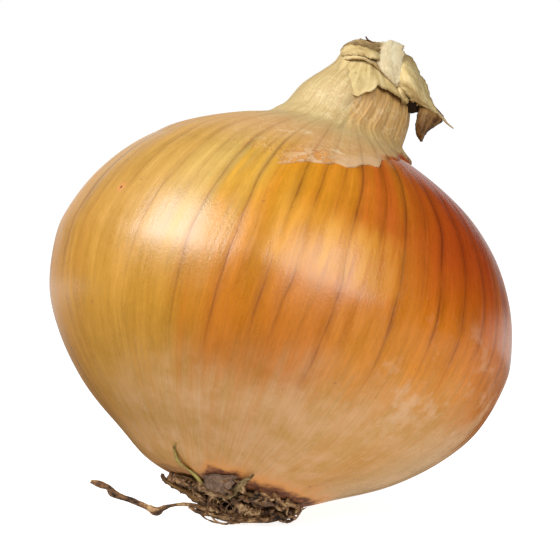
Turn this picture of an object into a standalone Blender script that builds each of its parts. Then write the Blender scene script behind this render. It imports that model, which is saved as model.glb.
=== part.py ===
"""A cured yellow onion that stands, leaning a little, on its pressed root tuft.

Lengths are in millimetres and are turned into metres where a mesh is made. Points of the bulb, neck and
leaves are given about the middle of the bulb: x to the right, y to the back, z along its own axis to the
neck. Azimuth 0 is the front, and +90 degrees is the right. Roots are given with z upright instead.
"""

import math
import random

import bmesh
import bpy
from mathutils import Matrix, Vector, noise

MM = 0.001
SEED = 7

# Stance: the axis leans to the right and to the back, and the bulb's middle is this far off the ground.
LEAN_RIGHT = 18.7
LEAN_BACK = 10.0
MIDDLE_HEIGHT = 36.6
LOWEST = -MIDDLE_HEIGHT
STANCE = Matrix.Rotation(math.radians(LEAN_RIGHT), 3, "Y") @ Matrix.Rotation(
    math.radians(-LEAN_BACK), 3, "X"
)

# The bulb's outline from the root plate to the neck, as radius and height.
BULB_OUTLINE = [
    (0.0, -33.4), (6.0, -33.3), (10.5, -32.8), (14.5, -31.4), (19.0, -28.6), (24.6, -25.3),
    (29.05, -21.9), (33.95, -16.8), (38.15, -10.1), (39.95, -1.5), (39.5, 3.4), (37.3, 10.1),
    (33.1, 16.8), (28.0, 21.7), (22.7, 25.0), (15.7, 28.0), (8.0, 30.2), (0.0, 31.0),
]  # fmt: skip
SEGMENTS = 64
BULB_RINGS = 30
LOBE = 0.005
LOBE_TURN = 0.6
# Shares of the way up the outline: a short step to read its slope by, and the ends of the widest stretch.
SLOPE_STEP = 0.004
WIDEST_LOW = 0.5
WIDEST_HIGH = 0.55
HALVINGS = 30

# The outer skin stands this far off the bulb and is this thick.
GAP = 0.35
SHEATH = 0.6
SHEATH_RINGS = 28
INNER_RINGS = 9
FOOT_RINGS = 8
FOOT_TOP_RADIUS = 12.3

# How far the outer skin reaches down the shoulder, as azimuth and radius.
TORN_EDGE = [
    (-180, 25.0), (-120, 28.5), (-60, 32.0), (-18, 32.6), (4, 28.8), (16, 25.8), (20, 22.4),
    (28, 19.8), (50, 14.4), (90, 13.2), (135, 17.5), (180, 25.0),
]  # fmt: skip

# The neck stalk from the shoulder to its crown, as height, sideways middle and radius.
STALK = [
    (31.5, -0.1, 11.1), (33.7, 0.8, 10.0), (36.0, 1.4, 9.3), (38.0, 1.8, 8.3), (39.6, 1.7, 6.8),
    (40.9, 1.4, 4.9), (41.7, 1.3, 2.6), (42.0, 1.3, 0.0),
]  # fmt: skip
PLEATS = 15
PLEAT_DEPTH = 0.5
PLEAT_SWAY = 2.0
PLEAT_SWAY_HEIGHT = 3.0
PLEAT_REACH = 1.2

# The torn collar's edges, as azimuth and height.
COLLAR_FOOT = [
    (-180, 34.0), (-120, 32.3), (-60, 32.1), (-10, 32.6), (-4, 35.6), (3, 37.2), (12, 38.7), (24, 38.9),
    (38, 38.4), (48, 37.9), (56, 38.8), (75, 39.5), (110, 39.4), (150, 36.6), (180, 34.0),
]  # fmt: skip
COLLAR_TOP = [
    (-180, 41.6), (-110, 41.4), (-75, 41.2), (-35, 42.4), (0, 43.0), (30, 42.3), (60, 41.2),
    (90, 40.8), (135, 41.3), (180, 41.6),
]  # fmt: skip
# Its inner face, as height, sideways middle and radius.
COLLAR_LINE = [
    (32.0, 0.1, 11.4), (34.0, 0.9, 10.3), (36.0, 1.4, 9.7), (38.0, 1.8, 8.8), (40.0, 1.6, 7.0),
    (42.0, 1.2, 5.2), (44.0, 0.9, 4.0),
]  # fmt: skip
COLLAR_THICK = 0.6
COLLAR_FLARE = 0.6
COLLAR_FLARE_AZIMUTH = 30
COLLAR_SEGMENTS = 48
COLLAR_ROWS = 5

# Leaves at the crown. Each row crosses the leaf, and the rows run from its root to its tip.
LEAF_THICK = 0.6
KNOT_MIDDLE = (1.0, -0.2, 44.5)
KNOT_SIZE = (4.3, 4.6, 2.1)
FLAP = [
    [(-2.4, 1.4, 43.9), (-0.6, 2.4, 44.2), (1.6, 1.6, 44.4)],
    [(-3.7, 0.8, 45.0), (-1.3, 1.8, 46.2), (1.6, 1.0, 46.2)],
    [(-4.2, -0.6, 45.0), (-1.9, -0.6, 46.9), (1.2, -0.8, 46.8)],
    [(-4.4, -2.4, 44.0), (-2.1, -3.4, 45.9), (1.0, -3.4, 45.9)],
    [(-3.3, -4.2, 43.6), (-1.6, -5.0, 44.6), (1.0, -5.2, 44.8)],
]  # fmt: skip
STRAP = [
    [(1.0, 1.0, 45.0), (3.0, 1.5, 45.5), (5.0, 1.0, 45.0)],
    [(1.5, -0.5, 47.3), (3.8, -0.5, 48.0), (6.2, -0.5, 47.6)],
    [(1.8, -3.0, 47.1), (4.0, -3.4, 47.5), (6.6, -2.8, 46.9)],
    [(1.5, -5.2, 45.5), (3.9, -5.6, 45.3), (6.6, -5.2, 44.8)],
    [(1.7, -6.8, 43.7), (4.0, -7.1, 43.3), (6.7, -6.9, 42.8)],
    [(4.1, -7.5, 42.2), (5.4, -7.8, 41.6), (7.0, -7.6, 41.3)],
    [(6.3, -7.9, 40.4), (6.6, -7.9, 40.2), (6.9, -7.8, 40.4)],
]  # fmt: skip
PUFFY_LEAF = [
    [(3.6, 1.4, 45.0), (4.0, 0.0, 45.8), (4.4, -1.4, 45.2)],
    [(6.0, 2.0, 46.0), (6.5, -0.6, 47.0), (5.4, -4.2, 45.2)],
    [(8.4, 1.5, 44.3), (8.8, -1.8, 45.3), (5.8, -6.2, 43.4)],
    [(10.3, 1.0, 42.0), (10.8, -2.4, 43.1), (6.6, -7.4, 41.4)],
    [(12.0, 0.6, 39.8), (12.5, -2.6, 41.1), (8.0, -7.6, 39.8)],
    [(13.0, 0.2, 38.7), (13.6, -2.0, 39.7), (11.2, -5.2, 39.1)],
    [(14.0, -0.6, 38.3), (14.7, -1.8, 38.8), (14.0, -3.0, 38.3)],
    [(15.4, -1.4, 37.9), (15.6, -1.9, 38.1), (15.4, -2.4, 37.8)],
]  # fmt: skip
HANGING_TIP = [
    [(11.6, -3.6, 39.4), (12.8, -2.8, 40.0), (13.7, -2.2, 39.4)],
    [(11.4, -3.8, 37.3), (13.0, -3.7, 37.6), (15.0, -2.5, 37.6)],
    [(11.7, -3.6, 35.4), (12.9, -3.9, 35.3), (14.3, -3.1, 35.2)],
    [(12.4, -3.1, 34.0), (13.1, -3.3, 33.8), (13.9, -2.9, 34.0)],
    [(13.0, -2.8, 33.2), (13.3, -2.9, 33.1), (13.6, -2.8, 33.2)],
]  # fmt: skip
THREAD_RADII = (0.45, 0.3)
LEAF_THREAD = [(14.6, -1.9, 38.3), (15.8, -2.0, 38.1), (16.8, -2.2, 37.4), (18.2, -2.2, 36.9)]
SPIKE_RADII = (0.6, 0.3)
SPIKES = [
    ((-0.6, -0.6, 46.2), (-1.4, -0.9, 47.8)), ((0.6, -0.9, 46.2), (1.3, -1.3, 47.5)),
    ((-1.6, 0.2, 46.0), (-3.1, -0.4, 46.6)),
]  # fmt: skip

# Root plate and tuft. The plate's middle is a little to the right of the bulb's axis.
PLATE_MIDDLE = (3.0, 0.0, -35.0)
PLATE_RADIUS = 9.2
PLATE_TAPER = 0.8
PLATE_DEPTH = 2.2
TUFT_MIDDLE = (-5.2, -3.2, -35.2)
TUFT_SIZE = (9.8, 9.0, 2.1)
TUFT_LUMPS = 0.16
LUMPS_PER_RADIUS = 2.2
# Single roots: where they start on the plate, how they spread, and how they bend on their way down.
ROOT_COUNT = 60
ROOT_RADIUS = 0.5
ROOT_THINNING = 0.6
ROOT_STARTS = (0.05, 0.8)
ROOT_RISE = 0.6
ROOT_TURN = 40
ROOT_SPREAD = (0.75, 1.3)
ROOT_REST = 0.2
ROOT_SWING = 2.5
ROOT_KINK = 0.5
ROOT_DROP = 2.2
ROOT_POINTS = 7
LONG_ROOT_RADII = (0.6, 0.4)
LONG_ROOT = [
    (-9.0, -7.0, -35.4), (-13.0, -7.4, -34.4), (-17.2, -7.6, -33.7), (-19.7, -7.6, -34.5),
    (-23.1, -7.4, -34.6), (-25.6, -7.2, -33.7), (-28.5, -7.0, -32.2), (-30.1, -6.9, -30.9),
    (-32.0, -6.8, -29.8),
]  # fmt: skip
LEFT_WING = [
    [(-10.6, -7.4, -35.3), (-10.8, -6.6, -34.7), (-11.0, -6.0, -34.1)],
    [(-13.4, -8.0, -34.3), (-13.5, -7.2, -33.7), (-13.6, -6.4, -33.0)],
    [(-16.0, -8.2, -33.0), (-16.1, -7.6, -32.2), (-16.2, -7.0, -31.3)],
    [(-18.6, -8.1, -31.3), (-18.5, -7.8, -30.7), (-18.4, -7.5, -30.1)],
    [(-20.0, -8.0, -28.9), (-19.9, -7.9, -28.8), (-19.8, -7.8, -28.8)],
]  # fmt: skip
# Papery scales round the plate: azimuths, and how far out along the skin each one reaches.
SCALES = [(-15, 15, 15.4), (24, 44, 13.8), (70, 100, 13.0), (150, 195, 13.6)]
SCALE_ROOT = 3.0
# Each scale's way out, as the share of it and the lift off the skin.
SCALE_LIFTS = [(0.0, 2.2), (0.4, 1.6), (0.7, 1.1), (1.0, 0.9)]
# The shred's way up the skin, as azimuth and radius.
SHRED_LIFT = 0.85
SHRED_RADII = (0.4, 0.3)
SHRED = [(-12, 5.0), (-17, 11.5), (-17, 14.0), (-19, 17.0), (-21, 20.5), (-25, 24.0)]

GROUND_DEPTH = 100


def blend(points, t):
    """The point at t, from 0 to 1, of a smooth curve through evenly timed points."""
    last = len(points) - 1
    place = min(max(t, 0.0), 1.0) * last
    i = min(int(place), last - 1)
    u = place - i
    p1, p2 = Vector(points[i]), Vector(points[i + 1])
    p0 = Vector(points[i - 1]) if i else 2 * p1 - p2
    p3 = Vector(points[i + 2]) if i + 2 <= last else 2 * p2 - p1
    bend = (2 * p0 - 5 * p1 + 4 * p2 - p3) * u * u + (3 * p1 - p0 - 3 * p2 + p3) * u**3
    return p1 + ((p2 - p0) * u + bend) / 2


def by_azimuth(pairs, azimuth):
    """The eased value at an azimuth, in degrees, of a list of azimuths and values."""
    azimuth = (azimuth + 180) % 360 - 180
    for (a, low), (b, high) in zip(pairs, pairs[1:]):
        if azimuth <= b:
            u = (azimuth - a) / (b - a)
            return low + (high - low) * u * u * (3 - 2 * u)
    return pairs[-1][1]


def round_point(radius, azimuth, height, middle=0.0):
    """A point about the bulb's axis, or about a line beside it."""
    angle = math.radians(azimuth)
    return Vector((middle + radius * math.sin(angle), -radius * math.cos(angle), height))


def skin(t, azimuth, lift=0.0):
    """A point of the bulb's skin, t from the root plate (0) to the neck (1), lifted off it."""
    radius, height = blend(BULB_OUTLINE, t)
    ahead, behind = blend(BULB_OUTLINE, t + SLOPE_STEP), blend(BULB_OUTLINE, t - SLOPE_STEP)
    along = (ahead - behind).normalized()
    lobes = math.cos(3 * math.radians(azimuth) + LOBE_TURN)
    wave = 1 + LOBE * lobes * math.sin(math.pi * t)
    radius = radius * wave + along.y * lift
    return round_point(max(radius, 0.0), azimuth, height - along.x * lift)


def skin_t(radius, upper):
    """Where on the skin, above or below its widest ring, this radius is."""
    low, high = (WIDEST_HIGH, 1.0) if upper else (0.0, WIDEST_LOW)
    for _ in range(HALVINGS):
        middle = (low + high) / 2
        inside = blend(BULB_OUTLINE, middle).x < radius
        low, high = (middle, high) if inside != upper else (low, middle)
    return low


# ---------------------------------------------------------------- meshes and objects


def clear_scene():
    """Removes every object that the scene starts with."""
    for old in list(bpy.data.objects):
        bpy.data.objects.remove(old)


def new_collection(name):
    """A collection of this name, linked to the scene."""
    made = bpy.data.collections.new(name)
    bpy.context.scene.collection.children.link(made)
    return made


def add_object(name, mesh, holder):
    """An object of this mesh in the collection."""
    made = bpy.data.objects.new(name, mesh)
    holder.objects.link(made)
    return made


def mesh_of(bm, name):
    """The mesh held by bm, smooth, with its faces turned outward."""
    bmesh.ops.recalc_face_normals(bm, faces=bm.faces)
    mesh = bpy.data.meshes.new(name)
    bm.to_mesh(mesh)
    bm.free()
    mesh.shade_smooth()
    return mesh


def warped_sphere(name, segments, rings, place):
    """A closed mesh of rings, each vertex put at place(ring number, azimuth)."""
    bm = bmesh.new()
    bmesh.ops.create_uvsphere(bm, u_segments=segments, v_segments=rings, radius=1.0)
    for vert in bm.verts:
        height = min(max(vert.co.z, -1.0), 1.0)
        ring = round(rings * (0.5 + math.asin(height) / math.pi))
        azimuth = math.degrees(math.atan2(vert.co.x, -vert.co.y))
        vert.co = place(ring, azimuth) * MM
    return mesh_of(bm, name)


def warped_tube(name, segments, rows, place):
    """An open tube, each vertex put at place(share of its height, azimuth)."""
    bm = bmesh.new()
    bmesh.ops.create_cone(bm, cap_ends=False, segments=segments, radius1=1, radius2=1, depth=1)
    upright = [e for e in bm.edges if abs(e.verts[0].co.z - e.verts[1].co.z) > 0.5]
    bmesh.ops.subdivide_edges(bm, edges=upright, cuts=rows - 1)
    for vert in bm.verts:
        azimuth = math.degrees(math.atan2(vert.co.x, -vert.co.y))
        vert.co = place(vert.co.z + 0.5, azimuth) * MM
    return mesh_of(bm, name)


def sheet(name, holder, rows, across=4, per_row=2):
    """A thin leaf through rows of points that cross it, from its root to its tip."""
    along = per_row * (len(rows) - 1)
    bm = bmesh.new()
    bmesh.ops.create_grid(bm, x_segments=across, y_segments=along, size=0.5)
    for vert in bm.verts:
        u, v = vert.co.x + 0.5, vert.co.y + 0.5
        line = [blend([row[i] for row in rows], v) for i in range(len(rows[0]))]
        vert.co = blend(line, u) * MM
    leaf = add_object(name, mesh_of(bm, name), holder)
    wall = leaf.modifiers.new("paper", "SOLIDIFY")
    wall.thickness = LEAF_THICK * MM
    wall.offset = 0.0
    return leaf


def strand(name, holder, path, thick, thin, steps=9, sides=4):
    """A round root or thread through the path, with its radius falling from thick to thin."""
    curve = bpy.data.curves.new(name, "CURVE")
    curve.dimensions = "3D"
    curve.bevel_depth = MM
    curve.bevel_resolution = (sides - 4) // 2
    curve.use_fill_caps = True
    spline = curve.splines.new("POLY")
    spline.points.add(steps)
    for i, point in enumerate(spline.points):
        point.co = (*(blend(path, i / steps) * MM), 1.0)
        point.radius = thick + (thin - thick) * i / steps
    drawn = add_object(name + "_curve", curve, holder)
    bpy.context.view_layer.update()
    seen = drawn.evaluated_get(bpy.context.evaluated_depsgraph_get())
    bm = bmesh.new()
    bm.from_mesh(bpy.data.meshes.new_from_object(seen))
    bmesh.ops.remove_doubles(bm, verts=bm.verts, dist=0.01 * MM)
    bpy.data.objects.remove(drawn)
    return add_object(name, mesh_of(bm, name), holder)


def join_all(body, parts):
    """Joins every object of the collection to the body as one solid, and removes them."""
    union = body.modifiers.new("grown together", "BOOLEAN")
    union.operation = "UNION"
    union.operand_type = "COLLECTION"
    union.collection = parts
    union.solver = "MANIFOLD"
    bpy.context.view_layer.update()
    seen = body.evaluated_get(bpy.context.evaluated_depsgraph_get())
    joined = bpy.data.meshes.new_from_object(seen)
    body.modifiers.clear()
    body.data = joined
    for part in list(parts.objects):
        bpy.data.objects.remove(part)
    bpy.data.collections.remove(parts)


def cut_with(body, cutter):
    """Cuts the body by the cutter, which no render shows."""
    cutter.hide_render = True
    cutter.display_type = "WIRE"
    cut = body.modifiers.new("clear of " + cutter.name, "BOOLEAN")
    cut.operation = "DIFFERENCE"
    cut.object = cutter
    cut.solver = "EXACT"


def colour(part, shade, roughness):
    """Gives the part its own material."""
    material = bpy.data.materials.new(part.name)
    material.use_nodes = True
    shader = material.node_tree.nodes["Principled BSDF"]
    shader.inputs["Base Color"].default_value = (*shade, 1.0)
    shader.inputs["Roughness"].default_value = roughness
    shader.inputs["Metallic"].default_value = 0.0
    part.data.materials.clear()
    part.data.materials.append(material)


# ---------------------------------------------------------------- the parts


def build_bulb(holder, lift=0.0, name="bulb"):
    """The round body, or the same shape lifted off it."""
    mesh = warped_sphere(
        name, SEGMENTS, BULB_RINGS, lambda ring, azimuth: skin(ring / BULB_RINGS, azimuth, lift)
    )
    return add_object(name, mesh, holder)


def sheath_point(ring, azimuth):
    """A point of the sheath: under the neck, out to the torn edge, and up over the stalk."""
    edge = skin_t(by_azimuth(TORN_EDGE, azimuth), upper=True)
    if ring <= INNER_RINGS:
        return skin(1 + (edge - 1) * ring / INNER_RINGS, azimuth, GAP)
    if ring <= INNER_RINGS + FOOT_RINGS:
        share = (ring - INNER_RINGS - 1) / (FOOT_RINGS - 1)
        foot_top = skin_t(FOOT_TOP_RADIUS, upper=True)
        return skin(edge + (foot_top - edge) * share, azimuth, GAP + SHEATH)
    share = (ring - INNER_RINGS - FOOT_RINGS - 1) / (SHEATH_RINGS - INNER_RINGS - FOOT_RINGS - 1)
    height, middle, radius = blend(STALK, share)
    sway = PLEAT_SWAY * math.sin(height / PLEAT_SWAY_HEIGHT)
    pleat = 0.5 + 0.5 * math.sin(math.radians(azimuth) * PLEATS + sway)
    fade = math.sin(math.pi * min(1.0, share * PLEAT_REACH))
    return round_point(max(radius - PLEAT_DEPTH * pleat * fade, 0.0), azimuth, height, middle)


def build_neck_sheath(holder):
    """The outer skin of the shoulder and the dried neck stalk."""
    mesh = warped_sphere("neck_sheath", SEGMENTS, SHEATH_RINGS, sheath_point)
    return add_object("neck_sheath", mesh, holder)


def collar_point(share, azimuth):
    """A point of the collar's inner face, from its ragged foot to its top."""
    low, high = by_azimuth(COLLAR_FOOT, azimuth), by_azimuth(COLLAR_TOP, azimuth)
    height = low + (high - low) * share
    first, last = COLLAR_LINE[0][0], COLLAR_LINE[-1][0]
    _, middle, radius = blend(COLLAR_LINE, (height - first) / (last - first))
    towards = (1 + math.cos(math.radians(azimuth - COLLAR_FLARE_AZIMUTH))) / 2
    flare = COLLAR_FLARE * (1 - share) ** 2 * towards
    return round_point(radius + flare, azimuth, height, middle)


def build_torn_collar(holder):
    """The papery skirt that stands out round the upper stalk."""
    mesh = warped_tube("torn_collar", COLLAR_SEGMENTS, COLLAR_ROWS, collar_point)
    collar = add_object("torn_collar", mesh, holder)
    wall = collar.modifiers.new("paper", "SOLIDIFY")
    wall.thickness = COLLAR_THICK * MM
    wall.offset = 1.0
    return collar


def build_dry_leaves(holder):
    """The knot at the crown with the withered leaf ends that fold down from it."""
    parts = new_collection("leaf_ends")
    knot = bmesh.new()
    bmesh.ops.create_uvsphere(knot, u_segments=16, v_segments=10, radius=MM)
    bmesh.ops.scale(knot, verts=knot.verts, vec=KNOT_SIZE)
    bmesh.ops.translate(knot, verts=knot.verts, vec=Vector(KNOT_MIDDLE) * MM)
    leaves = add_object("dry_leaves", mesh_of(knot, "dry_leaves"), holder)
    sheet("flap", parts, FLAP)
    sheet("strap", parts, STRAP)
    sheet("puffy_leaf", parts, PUFFY_LEAF, across=6)
    sheet("hanging_tip", parts, HANGING_TIP)
    strand("thread", parts, LEAF_THREAD, *THREAD_RADII, steps=4)
    for i, (base, tip) in enumerate(SPIKES):
        strand(f"spike_{i}", parts, [base, tip], *SPIKE_RADII, steps=2)
    join_all(leaves, parts)
    return leaves


def root_path(draw):
    """One root's way from the plate, outward and down, to where it lies on the ground."""
    angle = draw.uniform(0, 360)
    reach = PLATE_RADIUS * math.sqrt(draw.uniform(*ROOT_STARTS))
    start = STANCE @ (Vector(PLATE_MIDDLE) + round_point(reach, angle, ROOT_RISE))
    spread = draw.uniform(*ROOT_SPREAD)
    heading = math.radians(angle + draw.uniform(-ROOT_TURN, ROOT_TURN))
    out = Vector((TUFT_SIZE[0] * math.sin(heading), -TUFT_SIZE[1] * math.cos(heading), 0.0))
    end = Vector((TUFT_MIDDLE[0], TUFT_MIDDLE[1], LOWEST + ROOT_REST)) + out * spread
    aside = Vector((-out.y, out.x, 0.0)).normalized()
    swing = draw.uniform(-ROOT_SWING, ROOT_SWING)
    points = []
    for i in range(ROOT_POINTS):
        u = i / (ROOT_POINTS - 1)
        point = start.lerp(end, u)
        point.z = end.z + (start.z - end.z) * (1 - u) ** ROOT_DROP
        middle = math.sin(math.pi * u)
        points.append(point + aside * (swing * middle + draw.uniform(-ROOT_KINK, ROOT_KINK) * middle))
    return points


def build_roots(standing_holder):
    """The root plate, the pressed tuft with its single roots, and the papery scales round it."""
    parts = new_collection("root_ends")
    draw = random.Random(SEED)
    core = bmesh.new()
    bmesh.ops.create_uvsphere(core, u_segments=28, v_segments=14, radius=MM)
    for vert in core.verts:
        lump = noise.noise(vert.co / MM * LUMPS_PER_RADIUS + Vector((SEED, 0, 0)))
        vert.co *= 1 + TUFT_LUMPS * lump
    bmesh.ops.scale(core, verts=core.verts, vec=TUFT_SIZE)
    bmesh.ops.translate(core, verts=core.verts, vec=Vector(TUFT_MIDDLE) * MM)
    roots = add_object("roots", mesh_of(core, "roots"), standing_holder)
    plate = bmesh.new()
    bmesh.ops.create_cone(
        plate, cap_ends=True, segments=28, radius1=PLATE_TAPER * PLATE_RADIUS * MM,
        radius2=PLATE_RADIUS * MM, depth=PLATE_DEPTH * MM,
    )  # fmt: skip
    bmesh.ops.translate(plate, verts=plate.verts, vec=Vector(PLATE_MIDDLE) * MM)
    bmesh.ops.rotate(plate, verts=plate.verts, cent=(0, 0, 0), matrix=STANCE)
    add_object("plate", mesh_of(plate, "plate"), parts)
    for i in range(ROOT_COUNT):
        strand(f"root_{i}", parts, root_path(draw), ROOT_RADIUS, ROOT_THINNING * ROOT_RADIUS)
    strand("long_root", parts, LONG_ROOT, *LONG_ROOT_RADII, steps=20, sides=6)
    sheet("left_wing", parts, LEFT_WING)
    for i, (first, last, radius) in enumerate(SCALES):
        sheet(f"scale_{i}", parts, scale_rows(first, last, radius))
    strand("shred", parts, shred_path(), *SHRED_RADII, steps=12)
    join_all(roots, parts)
    return roots


def scale_rows(first, last, radius):
    """Rows of a papery scale that comes from under the plate and leans on the skin."""
    rows = []
    for share, lift in SCALE_LIFTS:
        t = skin_t(SCALE_ROOT + (radius - SCALE_ROOT) * share, upper=False)
        turns = [first, (first + last) / 2, last]
        rows.append([STANCE @ skin(t, turn, lift) for turn in turns])
    return rows


def shred_path():
    """The way of a thin shred of skin, up from the plate."""
    return [STANCE @ skin(skin_t(radius, upper=False), turn, SHRED_LIFT) for turn, radius in SHRED]


def ground_slab(holder):
    """A block whose top face is the ground."""
    slab = bmesh.new()
    bmesh.ops.create_cube(slab, size=GROUND_DEPTH * MM)
    bmesh.ops.translate(slab, verts=slab.verts, vec=(0, 0, (LOWEST - GROUND_DEPTH / 2) * MM))
    return add_object("ground", mesh_of(slab, "ground"), holder)


def lowest_and_highest(parts):
    """The corners of the box round all the parts, in the scene."""
    graph = bpy.context.evaluated_depsgraph_get()
    corners = []
    for part in parts:
        seen = part.evaluated_get(graph)
        mesh = seen.to_mesh()
        corners += [seen.matrix_world @ vert.co for vert in mesh.vertices]
        seen.to_mesh_clear()
    return [Vector([pick(point[i] for point in corners) for i in range(3)]) for pick in (min, max)]


def main():
    """Builds the onion, standing at the scene's origin."""
    clear_scene()
    onion = new_collection("onion")
    cutters = new_collection("cutters")
    foot = add_object("onion_foot", None, onion)
    leaning = add_object("onion_lean", None, onion)
    leaning.parent = foot
    leaning.location = (0, 0, MIDDLE_HEIGHT * MM)
    leaning.rotation_euler = STANCE.to_euler()
    standing = add_object("onion_stand", None, onion)
    standing.parent = foot
    standing.location = (0, 0, MIDDLE_HEIGHT * MM)

    bulb = build_bulb(onion)
    sheath = build_neck_sheath(onion)
    collar = build_torn_collar(onion)
    leaves = build_dry_leaves(onion)
    roots = build_roots(onion)
    clearance = build_bulb(cutters, lift=GAP, name="bulb_clearance")
    ground = ground_slab(cutters)
    for part in (bulb, sheath, collar, leaves, clearance):
        part.parent = leaning
    for part in (roots, ground):
        part.parent = standing
    cut_with(roots, clearance)
    cut_with(roots, ground)

    colour(bulb, (0.62, 0.24, 0.045), 0.3)
    colour(sheath, (0.60, 0.40, 0.19), 0.55)
    colour(collar, (0.66, 0.46, 0.23), 0.6)
    colour(leaves, (0.72, 0.55, 0.32), 0.6)
    colour(roots, (0.11, 0.065, 0.035), 0.85)

    bpy.context.view_layer.update()
    low, high = lowest_and_highest([bulb, sheath, collar, leaves, roots])
    foot.location = (-(low.x + high.x) / 2, -(low.y + high.y) / 2, 0)
    bpy.context.view_layer.update()


if __name__ == "__main__":
    main()
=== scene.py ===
"""The looks of a cured yellow onion: its skin, dried neck, torn collar, leaf ends and root tuft.

Shapes are worked out in millimetres about the middle of the bulb: x to the right, y to the back and
z along the bulb's own axis to the neck. Azimuth 0 is the front and +90 degrees is the right. Roots
are given with z upright instead. A Place turns both kinds of point into the row frame, in metres.
"""

import logging
import math
import random
from dataclasses import dataclass
from enum import Enum

import bmesh
import bpy
import numpy as np
from mathutils import Matrix, Vector, noise


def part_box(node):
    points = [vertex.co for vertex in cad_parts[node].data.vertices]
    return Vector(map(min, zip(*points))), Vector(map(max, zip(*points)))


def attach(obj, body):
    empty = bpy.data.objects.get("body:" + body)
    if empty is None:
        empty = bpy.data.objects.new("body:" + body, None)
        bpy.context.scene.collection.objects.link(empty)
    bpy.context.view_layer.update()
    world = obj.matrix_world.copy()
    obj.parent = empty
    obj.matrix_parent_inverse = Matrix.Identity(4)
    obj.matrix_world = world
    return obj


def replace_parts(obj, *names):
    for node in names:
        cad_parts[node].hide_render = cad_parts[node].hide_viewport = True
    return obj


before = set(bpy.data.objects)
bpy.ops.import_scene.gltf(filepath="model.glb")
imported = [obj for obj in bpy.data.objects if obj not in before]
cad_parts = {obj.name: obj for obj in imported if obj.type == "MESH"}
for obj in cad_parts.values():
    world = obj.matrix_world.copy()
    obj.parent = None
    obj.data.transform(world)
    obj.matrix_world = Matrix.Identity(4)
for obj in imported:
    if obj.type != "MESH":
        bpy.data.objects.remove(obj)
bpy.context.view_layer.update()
LOG = logging.getLogger("onion")

Array = np.ndarray
Point = tuple[float, float, float]
Net = list[list[Point]]
Pairs = tuple[tuple[float, float], ...]
Colour = tuple[float, float, float]
Shades = tuple[tuple[float, tuple[int, int, int]], ...]
Piece = bpy.types.Object
Mesh = bpy.types.Mesh
Material = bpy.types.Material
Socket = bpy.types.NodeSocket
Sockets = dict[str, Socket]
Inputs = dict[str | int, object]
Value = float | Socket

MM = 0.001
# How far the bulb's axis leans from the upright, in degrees, as its solid's does.
LEAN_RIGHT = 18.7
LEAN_BACK = 10.0
STANCE = Matrix.Rotation(math.radians(LEAN_RIGHT), 3, "Y") @ Matrix.Rotation(
    math.radians(-LEAN_BACK), 3, "X"
)

# The bulb's outline from the root plate to the neck, as radius and height.
BULB_OUTLINE = (
    (0.0, -33.4), (6.0, -33.3), (10.5, -32.8), (14.5, -31.4), (19.0, -28.6), (24.6, -25.3),
    (29.05, -21.9), (33.95, -16.8), (38.15, -10.1), (39.95, -1.5), (39.5, 3.4), (37.3, 10.1),
    (33.1, 16.8), (28.0, 21.7), (22.7, 25.0), (15.7, 28.0), (8.0, 30.2), (0.0, 31.0),
)

# How far the neck's skin reaches down the shoulder, as azimuth and radius.
TORN_EDGE = (
    (-180, 25.0), (-120, 28.5), (-60, 32.0), (-18, 32.6), (4, 28.8), (16, 25.8), (20, 22.4),
    (28, 19.8), (50, 14.4), (90, 13.2), (135, 17.5), (180, 25.0),
)

# The bare neck stalk under the collar, as height, sideways middle and radius.
STALK = (
    (31.5, -0.1, 11.1), (33.7, 0.8, 10.0), (36.0, 1.4, 9.3), (38.0, 1.8, 8.3), (39.6, 1.7, 6.8),
    (40.9, 1.4, 4.9), (41.7, 1.3, 2.6), (42.0, 1.3, 0.0),
)

# The collar's edges, as azimuth and height, and its inner face, as height, sideways middle and radius.
COLLAR_FOOT = (
    (-180, 34.0), (-120, 32.3), (-60, 32.1), (-10, 32.6), (-4, 35.6), (3, 37.2), (12, 38.7), (24, 38.9),
    (38, 38.4), (48, 37.9), (56, 38.8), (75, 39.5), (110, 39.4), (150, 36.6), (180, 34.0),
)
COLLAR_TOP = (
    (-180, 41.6), (-110, 41.4), (-75, 41.2), (-35, 42.4), (0, 43.0), (30, 42.3), (60, 41.2),
    (90, 40.8), (135, 41.3), (180, 41.6),
)
COLLAR_LINE = (
    (32.0, 0.1, 11.4), (34.0, 0.9, 10.3), (36.0, 1.4, 9.7), (38.0, 1.8, 8.8), (40.0, 1.6, 7.0),
    (42.0, 1.2, 5.2), (44.0, 0.9, 4.0),
)

# The stalk where the collar's paper lies on it, in the same terms.
COVERED_STALK = (
    (31.5, 0.0, 11.3), (32.8, 0.4, 10.6), *((h, c, r + 0.6) for h, c, r in COLLAR_LINE[2:]),
    (44.6, 0.8, 1.6),
)


# -------- curves, noise and forms


def through(control: Array, at: Array) -> Array:
    """Points of a smooth curve through evenly timed control points.

    Args:
        control: The control points, or rows of points, along the first axis.
        at: Where along the curve each wanted point is, from 0 to 1.

    Returns:
        The points, one or one row for each value of at.
    """
    control = np.asarray(control, float)
    last = len(control) - 1
    place = np.clip(at, 0.0, 1.0) * last
    i = np.minimum(place.astype(int), last - 1)
    u = (place - i).reshape((-1,) + (1,) * (control.ndim - 1))
    padded = np.concatenate([[2 * control[0] - control[1]], control, [2 * control[-1] - control[-2]]])
    p0, p1, p2, p3 = (padded[i + step] for step in range(4))
    bend = (2 * p0 - 5 * p1 + 4 * p2 - p3) * u**2 + (3 * p1 - p0 - 3 * p2 + p3) * u**3
    return p1 + ((p2 - p0) * u + bend) / 2


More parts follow.
